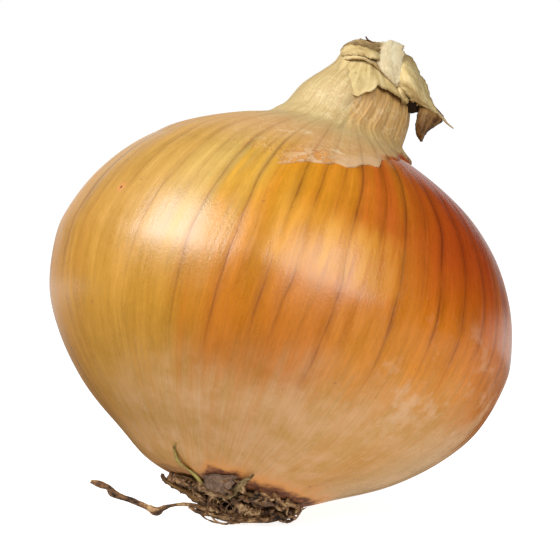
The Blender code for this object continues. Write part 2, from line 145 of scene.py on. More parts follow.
def eased(pairs: Pairs, azimuth: Array) -> Array:
    """Values at azimuths, eased between listed ones.

    Args:
        pairs: Azimuths from -180 to 180, each with its value.
        azimuth: The azimuths wanted.

    Returns:
        One value for each azimuth.
    """
    table = np.array(pairs, float)
    turned = (np.asarray(azimuth, float) + 180) % 360 - 180
    i = np.clip(np.searchsorted(table[:, 0], turned) - 1, 0, len(table) - 2)
    u = (turned - table[i, 0]) / (table[i + 1, 0] - table[i, 0])
    return table[i, 1] + (table[i + 1, 1] - table[i, 1]) * u * u * (3 - 2 * u)


def smooth(value: Array, low: float, high: float) -> Array:
    """A soft step from 0 at low to 1 at high, which falls where high is below low."""
    u = np.clip((np.asarray(value, float) - low) / (high - low), 0.0, 1.0)
    return u * u * (3 - 2 * u)


def rough(points: Array, seed: float = 0.0, octaves: int = 1) -> Array:
    """Smooth noise, from about -1 to 1.

    Args:
        points: Where it is wanted, in units of its grain, with the last axis of length 3.
        seed: Which noise it is.
        octaves: How many finer layers it has.

    Returns:
        One value for each point.
    """
    flat = np.asarray(points, float).reshape(-1, 3)
    total = np.zeros(len(flat))
    for octave in range(octaves):
        shifted = flat * 2**octave + (seed * 17.3, seed * 3.1, octave * 5.1)
        total += np.array([noise.noise(p) for p in shifted.tolist()]) * 0.5**octave
    return total.reshape(points.shape[:-1])


def stacked(*parts: Array) -> Array:
    """Coordinates joined along a new last axis, each spread to their common shape."""
    return np.stack(np.broadcast_arrays(*parts), axis=-1)


def round_point(radius: Array, azimuth: Array, height: Array, middle: Array = 0.0) -> Array:
    """Points about the bulb's axis, or about a line that lies to the right of it by the middle."""
    angle = np.radians(azimuth)
    return stacked(middle + radius * np.sin(angle), -radius * np.cos(angle), height)


def grain_spot(turn: Array, count: float, along: Array = 0.0) -> Array:
    """Where a grain is read round the axis, at azimuths in radians: it is finer for a higher count."""
    return stacked(np.sin(turn) * count, np.cos(turn) * count, along)


def ball(around: int, rows: int = 60) -> tuple[Array, Array, Array]:
    """A ball of radius 1 as rows of points.

    Args:
        around: How many points each row has.
        rows: How many rows there are from pole to pole.

    Returns:
        The azimuths, the slopes and the points.
    """
    azimuth = np.linspace(-180, 180, around, endpoint=False)[None, :]
    slope = np.linspace(-90, 90, rows)[:, None]
    return azimuth, slope, round_point(np.cos(np.radians(slope)), azimuth, np.sin(np.radians(slope)))


@dataclass(frozen=True)
class Vein:
    """A dark line in the skin that runs from the neck towards the roots."""

    azimuth: float
    strength: float
    # The height where it fades out, and how many degrees it turns for each millimetre up.
    foot: float
    slant: float = 0.0


FRONT_VEINS = (
    Vein(-62, 0.22, -10), Vein(-52, 0.25, -6), Vein(-41, 0.45, -14), Vein(-34, 0.25, -4),
    Vein(-27, 0.62, -18), Vein(-21, 0.3, -2, 0.05), Vein(-16.5, 0.75, -20), Vein(-12.5, 0.4, -8, -0.04),
    Vein(-6, 0.8, -17), Vein(-1, 0.62, -16, 0.05), Vein(4.5, 0.38, -6, 0.03), Vein(10, 0.85, -20),
    Vein(18, 0.45, -6, -0.03), Vein(25, 0.9, -16), Vein(31, 0.42, -2, 0.04), Vein(37, 0.85, -12),
    Vein(45.5, 0.7, -14, -0.03), Vein(54, 0.65, -10), Vein(62, 0.55, -12), Vein(70, 0.6, -12),
)
# What chance gives each vein at the back: its strength, a spare number, its foot and its slant.
BACK_VEIN_SPANS = ((0.3, 0.8), (0.36, 0.5), (-20.0, -4.0), (-0.04, 0.04))
# How far the veins wander to each side, in degrees.
WANDER = 1.3


def back_veins(seed: int = 5) -> tuple[Vein, ...]:
    """The veins of the sides and back, which are evenly spread with some play.

    Args:
        seed: Which chances they get.

    Returns:
        The veins.
    """
    draw = random.Random(seed)
    veins = []
    for azimuth in [78 + 8.6 * i + draw.uniform(-2.4, 2.4) for i in range(26)]:
        if azimuth < 292:
            strength, _, foot, slant = (draw.uniform(*span) for span in BACK_VEIN_SPANS)
            veins.append(Vein((azimuth + 180) % 360 - 180, strength, foot, slant))
    return tuple(veins)


VEINS = FRONT_VEINS + back_veins()


@dataclass(frozen=True)
class BulbForm:
    """The bulb's surface, turned about its own axis from the outline with three faint lobes."""

    outline: Pairs = BULB_OUTLINE
    # How far the lobes swell it, how finely its outline is sampled, and over what share it is softened.
    lobe: float = 0.005
    samples: int = 1801
    soften: float = 0.014

    def table(self) -> tuple[Array, Array, Array]:
        """The softened outline.

        Returns:
            Evenly spaced shares of the way up, and the radii and heights there.
        """
        shares = np.linspace(0, 1, self.samples)
        line = through(np.array(self.outline), shares)
        reach = int(3 * self.soften * self.samples)
        kernel = np.exp(-0.5 * (np.arange(-reach, reach + 1) / (self.soften * self.samples)) ** 2)
        kernel /= kernel.sum()
        radii = np.concatenate([-line[reach:0:-1, 0], line[:, 0], -line[-2 : -reach - 2 : -1, 0]])
        heights = np.concatenate([line[reach:0:-1, 1], line[:, 1], line[-2 : -reach - 2 : -1, 1]])
        return shares, np.convolve(radii, kernel, "valid"), np.convolve(heights, kernel, "valid")

    def at(self, share: Array, azimuth: Array, lift: Array = 0.0) -> Array:
        """Points of the skin.

        Args:
            share: How far up the outline, from the root plate (0) to the neck (1).
            azimuth: Azimuths in degrees.
            lift: How far off the skin.

        Returns:
            The points.
        """
        shares, radii, heights = OUTLINE
        slope_r, slope_h = np.gradient(radii), np.gradient(heights)
        length = np.hypot(slope_r, slope_h)
        out_r = np.interp(share, shares, slope_h / length)
        out_h = np.interp(share, shares, -slope_r / length)
        wave = 1 + self.lobe * np.cos(3 * np.radians(azimuth) + 0.6) * np.sin(np.pi * share)
        radius = np.interp(share, shares, radii) * wave + out_r * lift
        height = np.interp(share, shares, heights) + out_h * lift
        return round_point(np.maximum(radius, 0.0), azimuth, height)

    def share_at(self, radius: Array, upper: bool) -> Array:
        """Where the outline reaches a radius.

        Args:
            radius: The radii.
            upper: Whether it is above the widest ring or below it.

        Returns:
            The shares of the way up.
        """
        shares, radii, _ = OUTLINE
        widest = int(np.argmax(radii))
        if upper:
            return np.interp(radius, radii[widest:][::-1], shares[widest:][::-1])
        return np.interp(radius, radii[: widest + 1], shares[: widest + 1])


FORM = BulbForm()
OUTLINE = FORM.table()


class Place:
    """Where the bulb's own frame lies in the row frame."""

    def __init__(self) -> None:
        """Finds the middle by setting the bulb's form in the box of its solid."""
        low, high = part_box("bulb")
        form = FORM.at(np.linspace(0, 1, 181)[:, None], np.linspace(-180, 180, 361)[None, :])
        turned = form.reshape(-1, 3) @ np.array(STANCE).T * MM
        middle = (np.array(low) + np.array(high)) / 2 - (turned.min(0) + turned.max(0)) / 2
        self.middle = Vector(middle)

    def leaning(self, points: Array) -> Array:
        """Points given in the bulb's frame, in the row frame."""
        return np.asarray(points) @ np.array(STANCE).T * MM + np.array(self.middle)

    def upright(self, points: Array) -> Array:
        """Points given about the bulb's middle with z upright, in the row frame."""
        return np.asarray(points) * MM + np.array(self.middle)

    def turned(self, points: Array) -> Array:
        """Points given in the bulb's frame, about its middle with z upright."""
        return np.asarray(points) @ np.array(STANCE).T


PLACE = Place()


# -------- meshes


def linked(name: str, data: bpy.types.ID) -> Piece:
    """A new object of this mesh, light or camera, in the scene."""
    made = bpy.data.objects.new(name, data)
    bpy.context.scene.collection.objects.link(made)
    return made


def finished(name: str, mesh: Mesh, material: Material) -> Piece:
    """An object of this mesh that rides on the onion.

    Args:
        name: The piece's name.
        mesh: Its mesh, in the row frame.
        material: Its finish.

    Returns:
        The piece.
    """
    piece = linked(name, mesh)
    mesh.materials.clear()
    mesh.materials.append(material)
    mesh.shade_smooth()
    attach(piece, "root")
    LOG.info("%s: %d triangles", name, sum(len(face.vertices) - 2 for face in mesh.polygons))
    return piece


def outward(mesh: Mesh) -> Mesh:
    """Turns every face of a mesh outwards.

    Args:
        mesh: The mesh.

    Returns:
        The same mesh.
    """
    bm = bmesh.new()
    bm.from_mesh(mesh)
    bmesh.ops.recalc_face_normals(bm, faces=bm.faces)
    bm.to_mesh(mesh)
    bm.free()
    return mesh


def note(mesh: Mesh, name: str, values: Array) -> None:
    """Keeps one number for each point of the mesh, under a name that the materials read."""
    layer = mesh.attributes.new(name, "FLOAT", "POINT")
    layer.data.foreach_set("value", np.asarray(values, np.float32).ravel())


def with_poles(rows: Array) -> Array:
    """Numbers in the order of a ringed mesh's points: the inner rows, and one for each pole."""
    return np.concatenate([rows[1:-1].ravel(), [rows[0].mean(), rows[-1].mean()]])


def rings(name: str, grid: Array, notes: dict[str, Array] | None = None) -> Mesh:
    """A closed mesh of rings between two poles.

    Args:
        name: The mesh's name.
        grid: Rows of points round the axis. The first and last rows shrink to their mean points.
        notes: Numbers to keep for the points, as rows of the same shape.

    Returns:
        The mesh, with its faces outwards.
    """
    count, around = grid.shape[:2]
    inner = grid[1:-1].reshape(-1, 3)
    points = np.concatenate([inner, [grid[0].mean(0)], [grid[-1].mean(0)]])
    row, column = np.meshgrid(np.arange(count - 3), np.arange(around), indexing="ij")
    after = (column + 1) % around
    low, high = row * around, (row + 1) * around
    quads = np.stack([low + column, low + after, high + after, high + column], -1).reshape(-1, 4)
    ends, nexts = np.arange(around), (np.arange(around) + 1) % around
    first, last, top = len(inner), len(inner) + 1, (count - 3) * around
    caps = [(first, int(b), int(a)) for a, b in zip(ends, nexts)]
    caps += [(last, int(top + a), int(top + b)) for a, b in zip(ends, nexts)]
    mesh = bpy.data.meshes.new(name)
    mesh.from_pydata(points.tolist(), [], quads.tolist() + caps)
    for label, values in (notes or {}).items():
        note(mesh, label, with_poles(values))
    return outward(mesh)


def sheet(name: str, grid: Array, thickness: float, notes: dict[str, Array]) -> Mesh:
    """A thin wall round a grid of points.

    Args:
        name: The mesh's name.
        grid: Rows of points, in the row frame.
        thickness: The wall's thickness, in millimetres.
        notes: Numbers to keep for the points, as rows of the same shape.

    Returns:
        The mesh, closed round its edges.
    """
    count, across = grid.shape[:2]
    row, column = np.meshgrid(np.arange(count - 1), np.arange(across - 1), indexing="ij")
    corner = row * across + column
    quads = np.stack([corner, corner + 1, corner + across + 1, corner + across], -1)
    mesh = bpy.data.meshes.new(name)
    mesh.from_pydata(grid.reshape(-1, 3).tolist(), [], quads.reshape(-1, 4).tolist())
    for label, values in notes.items():
        note(mesh, label, values)
    holder = linked(name + "_sheet", mesh)
    wall = holder.modifiers.new("paper", "SOLIDIFY")
    wall.thickness = thickness * MM
    wall.offset = 0.0
    return outward(baked(holder, name))


def baked(holder: Piece, name: str) -> Mesh:
    """The mesh that an object's modifiers give, after which the object is removed.

    Args:
        holder: The object.
        name: The new mesh's name.

    Returns:
        The plain mesh.
    """
    bpy.context.view_layer.update()
    seen = holder.evaluated_get(bpy.context.evaluated_depsgraph_get())
    mesh = bpy.data.meshes.new_from_object(seen)
    mesh.name = name
    bpy.data.objects.remove(holder)
    return mesh


def normals_of(grid: Array) -> Array:
    """Unit normals of a grid of points."""
    facing = np.cross(np.gradient(grid, axis=1), np.gradient(grid, axis=0))
    return facing / np.maximum(np.linalg.norm(facing, axis=-1, keepdims=True), 1e-9)


# -------- node trees


def srgb(red: float, green: float, blue: float) -> Colour:
    """A screen colour, from 0 to 255, as the shader's linear values."""
    return tuple(((c / 255 + 0.055) / 1.055) ** 2.4 if c > 10 else c / 3294 for c in (red, green, blue))


class Graph:
    """A node tree that is filled in by short calls."""

    def __init__(self, tree: bpy.types.NodeTree) -> None:
        """Starts on an existing tree."""
        self.tree = tree

    def node(self, kind: str, **settings: object) -> bpy.types.Node:
        """Adds a node.

        Args:
            kind: The node's type.
            settings: Its properties.

        Returns:
            The node.
        """
        made = self.tree.nodes.new(kind)
        for name, value in settings.items():
            setattr(made, name, value)
        return made

    def wire(self, value: object, socket: Socket) -> None:
        """Links a socket to another, or sets its value."""
        if isinstance(value, Socket):
            self.tree.links.new(value, socket)
        else:
            colour = socket.type == "RGBA" and len(value) == 3
            socket.default_value = (*value, 1.0) if colour else value

    def fed(self, kind: str, inputs: Inputs, out: str | int = 0, **settings: object) -> Socket:
        """Adds a node and feeds it.

        Args:
            kind: The node's type.
            inputs: What each of its sockets gets, by name or number.
            out: The wanted output's name or number.
            settings: The node's properties.

        Returns:
            The output.
        """
        made = self.node(kind, **settings)
        for label, value in inputs.items():
            self.wire(value, made.inputs[label])
        return made.outputs[out]

    def split(self, vector: Socket) -> tuple[Socket, Socket, Socket]:
        """The three numbers of a vector."""
        return tuple(self.fed("ShaderNodeSeparateXYZ", {0: vector}).node.outputs)

    def math(self, operation: str, a: Value, b: Value = 0.0, c: Value = 0.0) -> Socket:
        """The result of a sum on one to three numbers."""
        return self.fed("ShaderNodeMath", {0: a, 1: b, 2: c}, operation=operation)

    def times(self, value: Value, *others: Value) -> Socket:
        """The product of a number and others."""
        for other in others:
            value = self.math("MULTIPLY", value, other)
        return value

    def summed(self, base: Value, *parts: tuple[Value, Value]) -> Socket:
        """A number with others added, each by its share."""
        for value, share in parts:
            base = self.math("MULTIPLY_ADD", value, share, base)
        return base

    def swung(self, base: Value, *parts: tuple[Socket, Value]) -> Socket:
        """A number swung up and down by grains, each over its own span."""
        return self.summed(base, *((self.math("SUBTRACT", grain, 0.5), span) for grain, span in parts))

    def apart(self, value: Value, middle: float) -> Socket:
        """How far a number lies from a fixed one."""
        return self.math("ABSOLUTE", self.math("SUBTRACT", value, middle))

    def mapped(
        self, value: Value, low: Value, high: Value, to_low: Value = 0.0, to_high: Value = 1.0
    ) -> Socket:
        """A value taken smoothly from the range low to high to the range to_low to to_high."""
        given = {0: value, 1: low, 2: high, 3: to_low, 4: to_high}
        return self.fed("ShaderNodeMapRange", given, interpolation_type="SMOOTHSTEP")

    def mix(self, share: Value, a: Value | Colour, b: Value | Colour, kind: str = "MIX") -> Socket:
        """Two colours mixed, with this share of the second one."""
        # A Mix node's colours are its inputs 6 and 7 and its output 2.
        given = {0: share, 6: a, 7: b}
        return self.fed("ShaderNodeMix", given, out=2, data_type="RGBA", blend_type=kind)

    def grain(
        self, vector: Value, scale: float, detail: float = 2.0, rough: float = 0.5, seed: float = 0.0
    ) -> Socket:
        """Soft noise from 0 to 1. The detail adds finer layers, which are as strong as it is rough."""
        given = {"Vector": vector, "W": seed, "Scale": scale, "Detail": detail, "Roughness": rough}
        return self.fed("ShaderNodeTexNoise", given, noise_dimensions="4D")

    def spot(self) -> Socket:
        """The place on the piece, in metres."""
        return self.node("ShaderNodeTexCoord").outputs["Object"]

    def joined(self, x: Value, y: Value, z: Value) -> Socket:
        """A vector of three numbers."""
        return self.fed("ShaderNodeCombineXYZ", {0: x, 1: y, 2: z})

    def ramp(self, value: Value, stops: list[tuple[float, Colour]]) -> Socket:
        """The colour at a value between listed ones.

        Args:
            value: The number, from 0 to 1.
            stops: Places, each with its colour.

        Returns:
            The colour.
        """
        colour = self.fed("ShaderNodeValToRGB", {0: value})
        elements = colour.node.color_ramp.elements
        while len(elements) < len(stops):
            elements.new(0.5)
        for element, (place, shade) in zip(elements, stops):
            element.position = place
            element.color = (*shade, 1.0)
        return colour

    def noted(self, name: str) -> Socket:
        """A number kept on the mesh."""
        return self.node("ShaderNodeAttribute", attribute_name=name).outputs["Fac"]

    def group(self, name: str, **values: Value) -> Sockets:
        """Places an effect, with its inputs by name, and gives its outputs by name."""
        first = self.fed("ShaderNodeGroup", values, node_tree=bpy.data.node_groups[name])
        return {socket.name: socket for socket in first.node.outputs}


class Effect(Graph):
    """A shader node group that several materials use."""

    def __init__(self, name: str, takes: tuple[str, ...], gives: tuple[str, ...]) -> None:
        """Starts the group.

        Args:
            name: The group's name.
            takes: The names of its numbers.
            gives: The names of its results, all numbers but "Color".
        """
        super().__init__(bpy.data.node_groups.new(name, "ShaderNodeTree"))
        for label in takes:
            self.tree.interface.new_socket(label, in_out="INPUT", socket_type="NodeSocketFloat")
        for label in gives:
            kind = "NodeSocketColor" if label == "Color" else "NodeSocketFloat"
            self.tree.interface.new_socket(label, in_out="OUTPUT", socket_type=kind)
        self.takes = self.node("NodeGroupInput").outputs
        self.gives = self.node("NodeGroupOutput").inputs

    def give(self, **results: Value) -> None:
        """Links the group's results by name."""
        for label, value in results.items():
            self.wire(value, self.gives[label])


class Dressing(Graph):
    """A material that is put together by short calls."""

    def __init__(self, name: str, specular: float = 0.5) -> None:
        """Starts the material.

        Args:
            name: The material's name.
            specular: How strongly it reflects.
        """
        self.material = bpy.data.materials.new(name)
        self.material.use_nodes = True
        super().__init__(self.material.node_tree)
        self.shader = self.tree.nodes["Principled BSDF"].inputs
        self.shader["Specular IOR Level"].default_value = specular

    def finish(
        self, colour: Socket, roughness: Socket, lift: Socket, strength: float, depth: float
    ) -> Material:
        """Links the material's colour, gloss and relief.

        Args:
            colour: Its colour.
            roughness: How dull it is.
            lift: How high its relief stands, from about 0 to 1.
            strength: How strongly the relief shows.
            depth: How deep the relief is, in millimetres.

        Returns:
            The material.
        """
        relief = self.fed("ShaderNodeBump", {"Height": lift, "Strength": strength, "Distance": depth * MM})
        for label, value in (("Base Color", colour), ("Roughness", roughness), ("Normal", relief)):
            self.wire(value, self.shader[label])
        return self.material


# -------- effects


def make_bulb_place() -> None:
    """Azimuth in degrees, height and radius in millimetres, in the bulb's own frame."""
    effect = Effect("bulb_place", (), ("Azimuth", "Height", "Radius"))
    given = {"Location": PLACE.middle, "Rotation": STANCE.to_euler(), "Scale": (MM, MM, MM)}
    given["Vector"] = effect.spot()
    turned = effect.fed("ShaderNodeMapping", given, vector_type="TEXTURE")
    x, y, z = effect.split(turned)
    angle = effect.math("ARCTAN2", x, effect.times(y, -1.0))
    radius = effect.math("SQRT", effect.math("MULTIPLY_ADD", x, x, effect.times(y, y)))
    effect.give(Azimuth=effect.math("DEGREES", angle), Height=z, Radius=radius)


def make_veins() -> None:
    """The dark lines of the skin, with three faint ones between each two, from numbers on the mesh."""
    effect = Effect("veins", ("Turn", "Gap", "Force", "Height"), ("Mask",))
    turn, gap = effect.takes["Turn"], effect.takes["Gap"]
    spot = effect.joined(effect.times(turn, 2.3), effect.times(effect.takes["Height"], 0.16), 0.0)
    grain = effect.grain(spot, 1.0, 3.0, 0.6, 3.0)
    away = effect.times(effect.math("PINGPONG", turn, 0.5), gap)
    width = effect.summed(0.06, (grain, 0.7))
    core = effect.mapped(away, 0.03, width, 0.85, 0.0)
    halo = effect.mapped(away, 0.0, effect.times(width, 3.6), 0.42, 0.0)
    broken = effect.mapped(grain, 0.22, 0.6, 0.35, 1.0)
    line = effect.times(effect.math("MAXIMUM", core, halo), broken)
    between = effect.times(effect.math("PINGPONG", effect.times(turn, 4.0), 0.5), gap, 0.25)
    thin = effect.mapped(between, 0.02, 0.16, effect.mapped(grain, 0.5, 0.7, 0.0, 0.3), 0.0)
    effect.give(Mask=effect.times(effect.math("MAXIMUM", line, thin), effect.takes["Force"]))


# The skin's streaks: how many there are round it, how they change with height, and their detail.
STREAKS = {
    "Broad": (7.0, 0.025, 3.0),
    "Middle": (24.0, 0.06, 3.0),
    "Fine": (82.0, 0.2, 2.0),
    "Grit": (150.0, 1.0, 2.0),
}


def make_fibres() -> None:
    """Streaks that run up the bulb, in four widths, each from 0 to 1."""
    effect = Effect("fibres", ("Azimuth", "Height"), tuple(STREAKS))
    turn = effect.math("RADIANS", effect.takes["Azimuth"])
    across, back = effect.math("SINE", turn), effect.math("COSINE", turn)
    for label, (count, along, detail) in STREAKS.items():
        up = effect.times(effect.takes["Height"], along)
        spot = effect.joined(effect.times(across, count), effect.times(back, count), up)
        effect.give(**{label: effect.grain(spot, 1.0, detail, 0.55, count)})


def make_creases() -> None:
    """Fine crossing creases and broader clouds of dry skin, each from 0 to 1."""
    effect = Effect("creases", (), ("Line", "Cloud", "Field"))
    field = effect.grain(effect.spot(), 230.0, 4.0, 0.62, 15.0)
    line = effect.mapped(effect.apart(field, 0.5), 0.03, 0.0)
    effect.give(Line=line, Cloud=effect.mapped(field, 0.5, 0.68), Field=field)


@dataclass(frozen=True)
class SkinShades:
    """The outer skin's colours by azimuth and height, before the neck's own tan."""

    # Round the upper and the lower half: azimuths, each with its red, green and blue from 0 to 255.
    upper: Shades = (
        (-180, (190, 108, 26)), (-120, (188, 126, 46)), (-70, (188, 140, 66)), (-46, (189, 144, 68)),
        (-27, (194, 158, 84)), (-17, (195, 143, 42)), (-5, (198, 129, 16)), (9, (196, 117, 13)),
        (24, (188, 94, 8)), (38, (184, 77, 3)), (58, (174, 62, 2)), (78, (196, 106, 38)),
        (125, (184, 92, 18)), (180, (190, 108, 26)),
    )
    lower: Shades = (
        (-180, (190, 108, 24)), (-120, (184, 122, 44)), (-70, (192, 134, 50)), (-50, (192, 138, 50)),
        (-30, (186, 130, 38)), (-14, (180, 106, 4)), (8, (188, 106, 4)), (24, (200, 123, 10)),
        (50, (208, 124, 10)), (80, (202, 112, 16)), (125, (196, 110, 26)), (180, (190, 108, 24)),
    )
    sand: Colour = srgb(196, 146, 76)
    rose: Colour = srgb(208, 158, 104)
    chalk: Colour = srgb(220, 184, 142)
    honey: Colour = srgb(192, 128, 54)
    cream: Colour = srgb(228, 192, 148)
    bloom: Colour = srgb(214, 168, 120)
    vein: Colour = srgb(98, 38, 8)
    # Where the pale lower skin is palest, and where it reaches highest, as azimuths.
    palest: float = 88.0
    highest: float = 50.0

    def beige(self, effect: Effect, azimuth: Socket, fibres: Sockets, patch: Socket) -> Socket:
        """The pale skin round the roots.

        Args:
            effect: The group that it is made in.
            azimuth: The azimuth.
            fibres: The streaks.
            patch: The cloudy patches.

        Returns:
            Its colour.
        """
        beige = effect.mix(effect.mapped(patch, 0.38, 0.62), self.sand, self.rose)
        beige = effect.mix(effect.mapped(fibres["Fine"], 0.35, 0.75, 0.0, 0.24), beige, self.chalk)
        beige = effect.mix(effect.mapped(fibres["Middle"], 0.4, 0.7, 0.0, 0.55), beige, self.honey)
        side = effect.mapped(effect.apart(azimuth, self.palest), 44.0, 10.0, 0.0, 0.75)
        beige = effect.mix(side, beige, self.cream)
        blot = effect.grain(effect.spot(), 330.0, 4.0, 0.7, 45.0)
        return effect.mix(effect.mapped(blot, 0.5, 0.66, 0.0, 0.4), beige, self.bloom)

    def make(self) -> None:
        """Makes the effect, which also gives the masks that the finishes read."""
        effect = Effect("skin_colour", (), ("Color", "Vein", "Fine", "Middle", "Grit", "Patch", "Pale"))
        place = effect.group("bulb_place")
        azimuth, height = place["Azimuth"], place["Height"]
        fibres = effect.group("fibres", Azimuth=azimuth, Height=height)
        broad, middle, fine = fibres["Broad"], fibres["Middle"], fibres["Fine"]

        around = effect.summed(0.5, (effect.swung(azimuth, (broad, 46.0), (middle, 16.0)), 1 / 360))
        lower, upper = (
            effect.ramp(around, [((turn + 180) / 360, srgb(*shade)) for turn, shade in shades])
            for shades in (self.lower, self.upper)
        )
        colour = effect.mix(effect.mapped(height, -9.0, 15.0), lower, upper)

        cloud = effect.grain(effect.spot(), 95.0, 4.0, 0.6, 8.0)
        edge = effect.swung(height, (middle, 6.0), (broad, 6.0), (cloud, 13.0))
        side = effect.math("COSINE", effect.math("RADIANS", effect.math("SUBTRACT", azimuth, self.highest)))
        pale = effect.mapped(effect.summed(edge, (side, -11.0)), -15.0, -28.6)
        patch = effect.grain(effect.spot(), 140.0, 4.0, 0.65, 23.0)
        beige = self.beige(effect, azimuth, fibres, patch)
        colour = effect.mix(effect.times(pale, 0.92), colour, beige)

        shade = effect.swung(0.0, (middle, 0.62), (fine, 0.34), (fibres["Grit"], 0.3), (patch, 0.34))
        shade = effect.summed(1.0, (shade, effect.mapped(pale, 0.0, 1.0, 1.0, 0.5)))
        colour = effect.mix(1.0, colour, effect.joined(shade, shade, shade), "MULTIPLY")
        vein = effect.group(
            "veins", Turn=effect.noted("vein_turn"), Gap=effect.noted("vein_gap"),
            Force=effect.noted("vein_force"), Height=height,
        )["Mask"]
        colour = effect.mix(effect.times(vein, 0.9), colour, self.vein)
        effect.give(
            Color=colour, Vein=vein, Fine=fine, Middle=middle, Grit=fibres["Grit"], Patch=patch, Pale=pale
        )


# -------- finishes


@dataclass(frozen=True)
class SkinFinish:
    """The glossy outer skin, gold at the left and deep orange at the right."""

    under_neck: Colour = srgb(200, 142, 80)
    # Painted highlight: a warm cream laid where the right light's highlight falls, to make that highlight
    # creamier.
    highlight_tint: Colour = srgb(216, 150, 42)
    stain: Colour = srgb(100, 44, 0)
    stain_light: Colour = srgb(156, 86, 26)
    stain_halo: Colour = srgb(206, 130, 38)
    scuff: Colour = srgb(232, 196, 158)
    fleck: Colour = srgb(120, 70, 36)
    scar_halo: Colour = srgb(216, 142, 86)
    scar_core: Colour = srgb(110, 60, 20)
    # How far the root plate's middle is to the right of the bulb's axis, in millimetres.
    root_middle: float = 2.5
    # A small rusty scar's azimuth and height, and how many millimetres a degree is there.
    scar: Point = (-54.5, 6.9, 0.62)

    def stained(self, graph: Graph, place: Sockets, ragged: Socket) -> tuple[Socket, Socket]:
        """The brown stain round the roots and the orange halo beside it.

        Args:
            graph: The material's nodes.
            place: The place in the bulb's frame.
            ragged: The grain that tears their edges.

        Returns:
            How strong the stain is and how strong the halo is.
        """
        azimuth, radius = place["Azimuth"], place["Radius"]
        aside = graph.times(radius, graph.math("SINE", graph.math("RADIANS", azimuth)))
        far = graph.summed(self.root_middle**2, (aside, -2.0 * self.root_middle), (radius, radius))
        front = graph.mapped(graph.apart(azimuth, -3.0), 17.0, 9.0, 0.0, -2.2)
        right = graph.mapped(graph.apart(azimuth, 42.0), 38.0, 24.0, 0.9, -0.1)
        ring = graph.summed(graph.math("SQRT", far), (front, 1.0), (right, 1.0))
        ring = graph.swung(ring, (ragged, 7.0))
        under = graph.mapped(place["Height"], -24.0, -27.0)
        under = graph.times(under, graph.mapped(azimuth, -30.0, -12.0, 0.4, 1.0))
        stain = graph.times(graph.mapped(ring, 15.1, 13.4, 0.0, 0.94), under)
        return stain, graph.times(graph.mapped(ring, 18.6, 14.0, 0.0, 0.85), under)

    def scarred(self, graph: Graph, place: Sockets, ragged: Socket, colour: Socket) -> Socket:
        """The skin's colour with its small scar.

        Args:
            graph: The material's nodes.
            place: The place in the bulb's frame.
            ragged: The grain that tears its edge.
            colour: The colour so far.

        Returns:
            The colour.
        """
        turn, height, per_degree = self.scar
        aside = graph.times(graph.math("SUBTRACT", place["Azimuth"], turn), per_degree)
        off = graph.joined(aside, graph.math("SUBTRACT", place["Height"], height), 0.0)
        away = graph.fed("ShaderNodeVectorMath", {0: off}, out="Value", operation="LENGTH")
        away = graph.swung(away, (ragged, 0.8))
        colour = graph.mix(graph.mapped(away, 1.3, 0.5, 0.0, 0.6), colour, self.scar_halo)
        return graph.mix(graph.mapped(away, 0.42, 0.2, 0.0, 0.9), colour, self.scar_core)

    def material(self) -> Material:
        """The skin's material.

        Returns:
            The material, with streaks, dark veins, scuffs, a painted highlight patch and the stain round
            the roots.
        """
        graph = Dressing("onion skin", specular=0.9)
        skin, place = graph.group("skin_colour"), graph.group("bulb_place")
        azimuth, height = place["Azimuth"], place["Height"]
        spot = graph.spot()
        ragged = graph.grain(spot, 260.0, 4.0, 0.6, 1.0)

        beside = graph.times(
            graph.mapped(place["Radius"], 18.5, 14.5), graph.mapped(height, 20.0, 24.0), 0.9
        )
        colour = graph.mix(beside, skin["Color"], self.under_neck)
        # Painted highlight: a paler, creamier patch in streaks where the right light's highlight falls.
        highlight_tint = graph.times(
            graph.mapped(graph.apart(azimuth, 6.0), 25.0, 8.0),
            graph.mapped(graph.apart(height, 6.5), 7.0, 2.5),
            graph.mapped(skin["Middle"], 0.34, 0.6, 0.25, 0.9),
        )
        colour = graph.mix(highlight_tint, colour, self.highlight_tint)
        stain, halo = self.stained(graph, place, ragged)
        colour = graph.mix(halo, colour, self.stain_halo)
        patchy = graph.mapped(graph.grain(spot, 700.0, 3.0, 0.7, 12.0), 0.45, 0.65)
        colour = graph.mix(stain, colour, graph.mix(patchy, self.stain, self.stain_light))
        scuffed = graph.times(
            graph.mapped(graph.grain(spot, 170.0, 5.0, 0.68, 9.0), 0.5, 0.68),
            graph.mapped(azimuth, 18.0, 36.0),
            graph.mapped(graph.apart(height, -7.0), 5.0, 14.0, 1.0, 0.0),
        )
        colour = graph.mix(graph.times(scuffed, 0.32), colour, self.scuff)
        colour = self.scarred(graph, place, ragged, colour)
        flecked = graph.mapped(graph.grain(spot, 900.0, 1.0, 0.5, 4.0), 0.745, 0.8, 0.0, 0.5)
        colour = graph.mix(flecked, colour, self.fleck)

        dull = graph.summed(
            graph.mapped(azimuth, 18.0, 44.0, 0.02, -0.04), (skin["Pale"], 0.02), (skin["Middle"], 0.32),
            (skin["Patch"], 0.26), (halo, 0.6), (scuffed, 0.2),
        )
        pores = graph.grain(spot, 2400.0, 3.0, 0.6, 2.0)
        lift = graph.summed(
            0.0, (skin["Middle"], 0.8), (skin["Fine"], 0.2), (skin["Grit"], 0.2), (pores, 0.54),
            (skin["Vein"], -0.35),
        )
        return graph.finish(colour, dull, lift, strength=0.55, depth=0.12)


